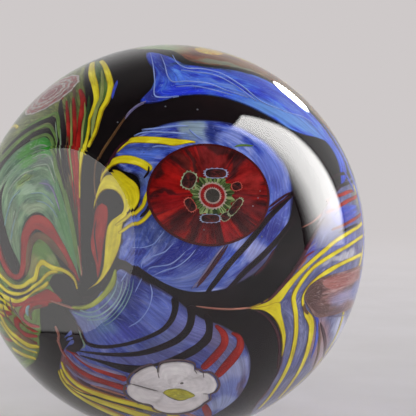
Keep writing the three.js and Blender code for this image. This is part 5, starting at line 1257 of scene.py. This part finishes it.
def world():
    """Pale behind the ball and near the table, dim above, with an even backdrop for the camera."""
    made = bpy.data.worlds.new("studio")
    bpy.context.scene.world = made
    made.use_nodes = True
    nodes, links = made.node_tree.nodes, made.node_tree.links
    place = nodes.new("ShaderNodeTexCoord")
    split = nodes.new("ShaderNodeSeparateXYZ")
    links.new(place.outputs["Generated"], split.inputs[0])

    def fade(axis, low, high, start, end):
        made = nodes.new("ShaderNodeMapRange")
        made.interpolation_type = "SMOOTHSTEP"
        for key, value in (("From Min", low), ("From Max", high), ("To Min", start), ("To Max", end)):
            made.inputs[key].default_value = value
        links.new(split.outputs[axis], made.inputs["Value"])
        return made.outputs[0]

    def join(operation, a, b):
        made = nodes.new("ShaderNodeMath")
        made.operation = operation
        links.new(a, made.inputs[0])
        links.new(b, made.inputs[1])
        return made.outputs[0]

    behind = join("MULTIPLY", fade("Y", -0.1, 0.5, 0.0, 0.62), fade("Z", 0.45, 0.85, 1.0, 0.25))
    strength = join("MAXIMUM", behind, fade("Z", -0.1, 0.55, 0.6, 0.03))
    room = nodes["Background"]
    room.inputs["Color"].default_value = (1, 0.985, 0.98, 1)
    links.new(strength, room.inputs["Strength"])
    plain = nodes.new("ShaderNodeBackground")
    plain.inputs["Color"].default_value = BACKDROP
    path = nodes.new("ShaderNodeLightPath")
    mixed = nodes.new("ShaderNodeMixShader")
    links.new(path.outputs["Is Camera Ray"], mixed.inputs[0])
    links.new(room.outputs[0], mixed.inputs[1])
    links.new(plain.outputs[0], mixed.inputs[2])
    links.new(mixed.outputs[0], nodes["World Output"].inputs["Surface"])


def camera():
    """A long lens, a little above level, in front of the ball and not centred on it."""
    data = bpy.data.cameras.new("camera")
    data.sensor_width = 36
    data.lens = 116.8
    data.shift_x, data.shift_y = 0.0913, 0.0752
    made = bpy.data.objects.new("camera", data)
    bpy.context.scene.collection.objects.link(made)
    back = direction(0, CAMERA_ELEVATION)
    made.location = CENTRE + back * CAMERA_DISTANCE
    made.rotation_mode = "QUATERNION"
    made.rotation_quaternion = back.to_track_quat("Z", "Y")
    bpy.context.scene.camera = made


# Lines of directions, (azimuth, elevation), along the edges of the glowing panels.
RIGHT_OUTER = [(119, -10), (119, 0), (119, 10), (118, 20), (116, 30), (112, 41), (104, 51), (98, 57),
               (92, 61)]
RIGHT_INNER = [(80, -10), (79, 0), (78, 10), (77, 20), (76, 30), (74, 41), (70, 51), (64, 57), (60, 61)]
REAR_OUTER = [(152, 20.4), (156.5, 22.4), (158.4, 25.4), (155.6, 29.4), (150.6, 31.4)]
REAR_INNER = [(152, 20.4), (147, 22.8), (144.6, 26.4), (146.4, 30), (150.6, 31.4)]
LEFT_OUTER, LEFT_INNER = [(-104, -6.8), (-104, 24)], [(-52, -6.8), (-52, 24)]


def build_stage():
    bpy.context.scene.view_settings.view_transform = "Standard"
    world()
    floor()
    for azimuth in (0, 72, 144, 216, 288):
        lamp(f"fill_{azimuth}", azimuth, elevation=18, distance=0.7, size=0.5, watts=1.6)
    glow_panel("right_softbox", RIGHT_OUTER, RIGHT_INNER, distance=0.6, strength=11.7,
               soft=(0.3, 0.04, 0.15, 0.45))
    glow_panel("rear_strip", REAR_OUTER, REAR_INNER, distance=0.6, strength=26.0,
               soft=(0.04, 0.04, 0.2, 0.2))
    glow_panel("left_panel", LEFT_OUTER, LEFT_INNER, distance=0.3, strength=2.1,
               soft=(0.01, 0.3, 0.1, 0.1))
    camera()


build_fields()
build_stringers()
build_threads()
build_murrine()
core()
crystal_body()
air_bubbles()
build_stage()
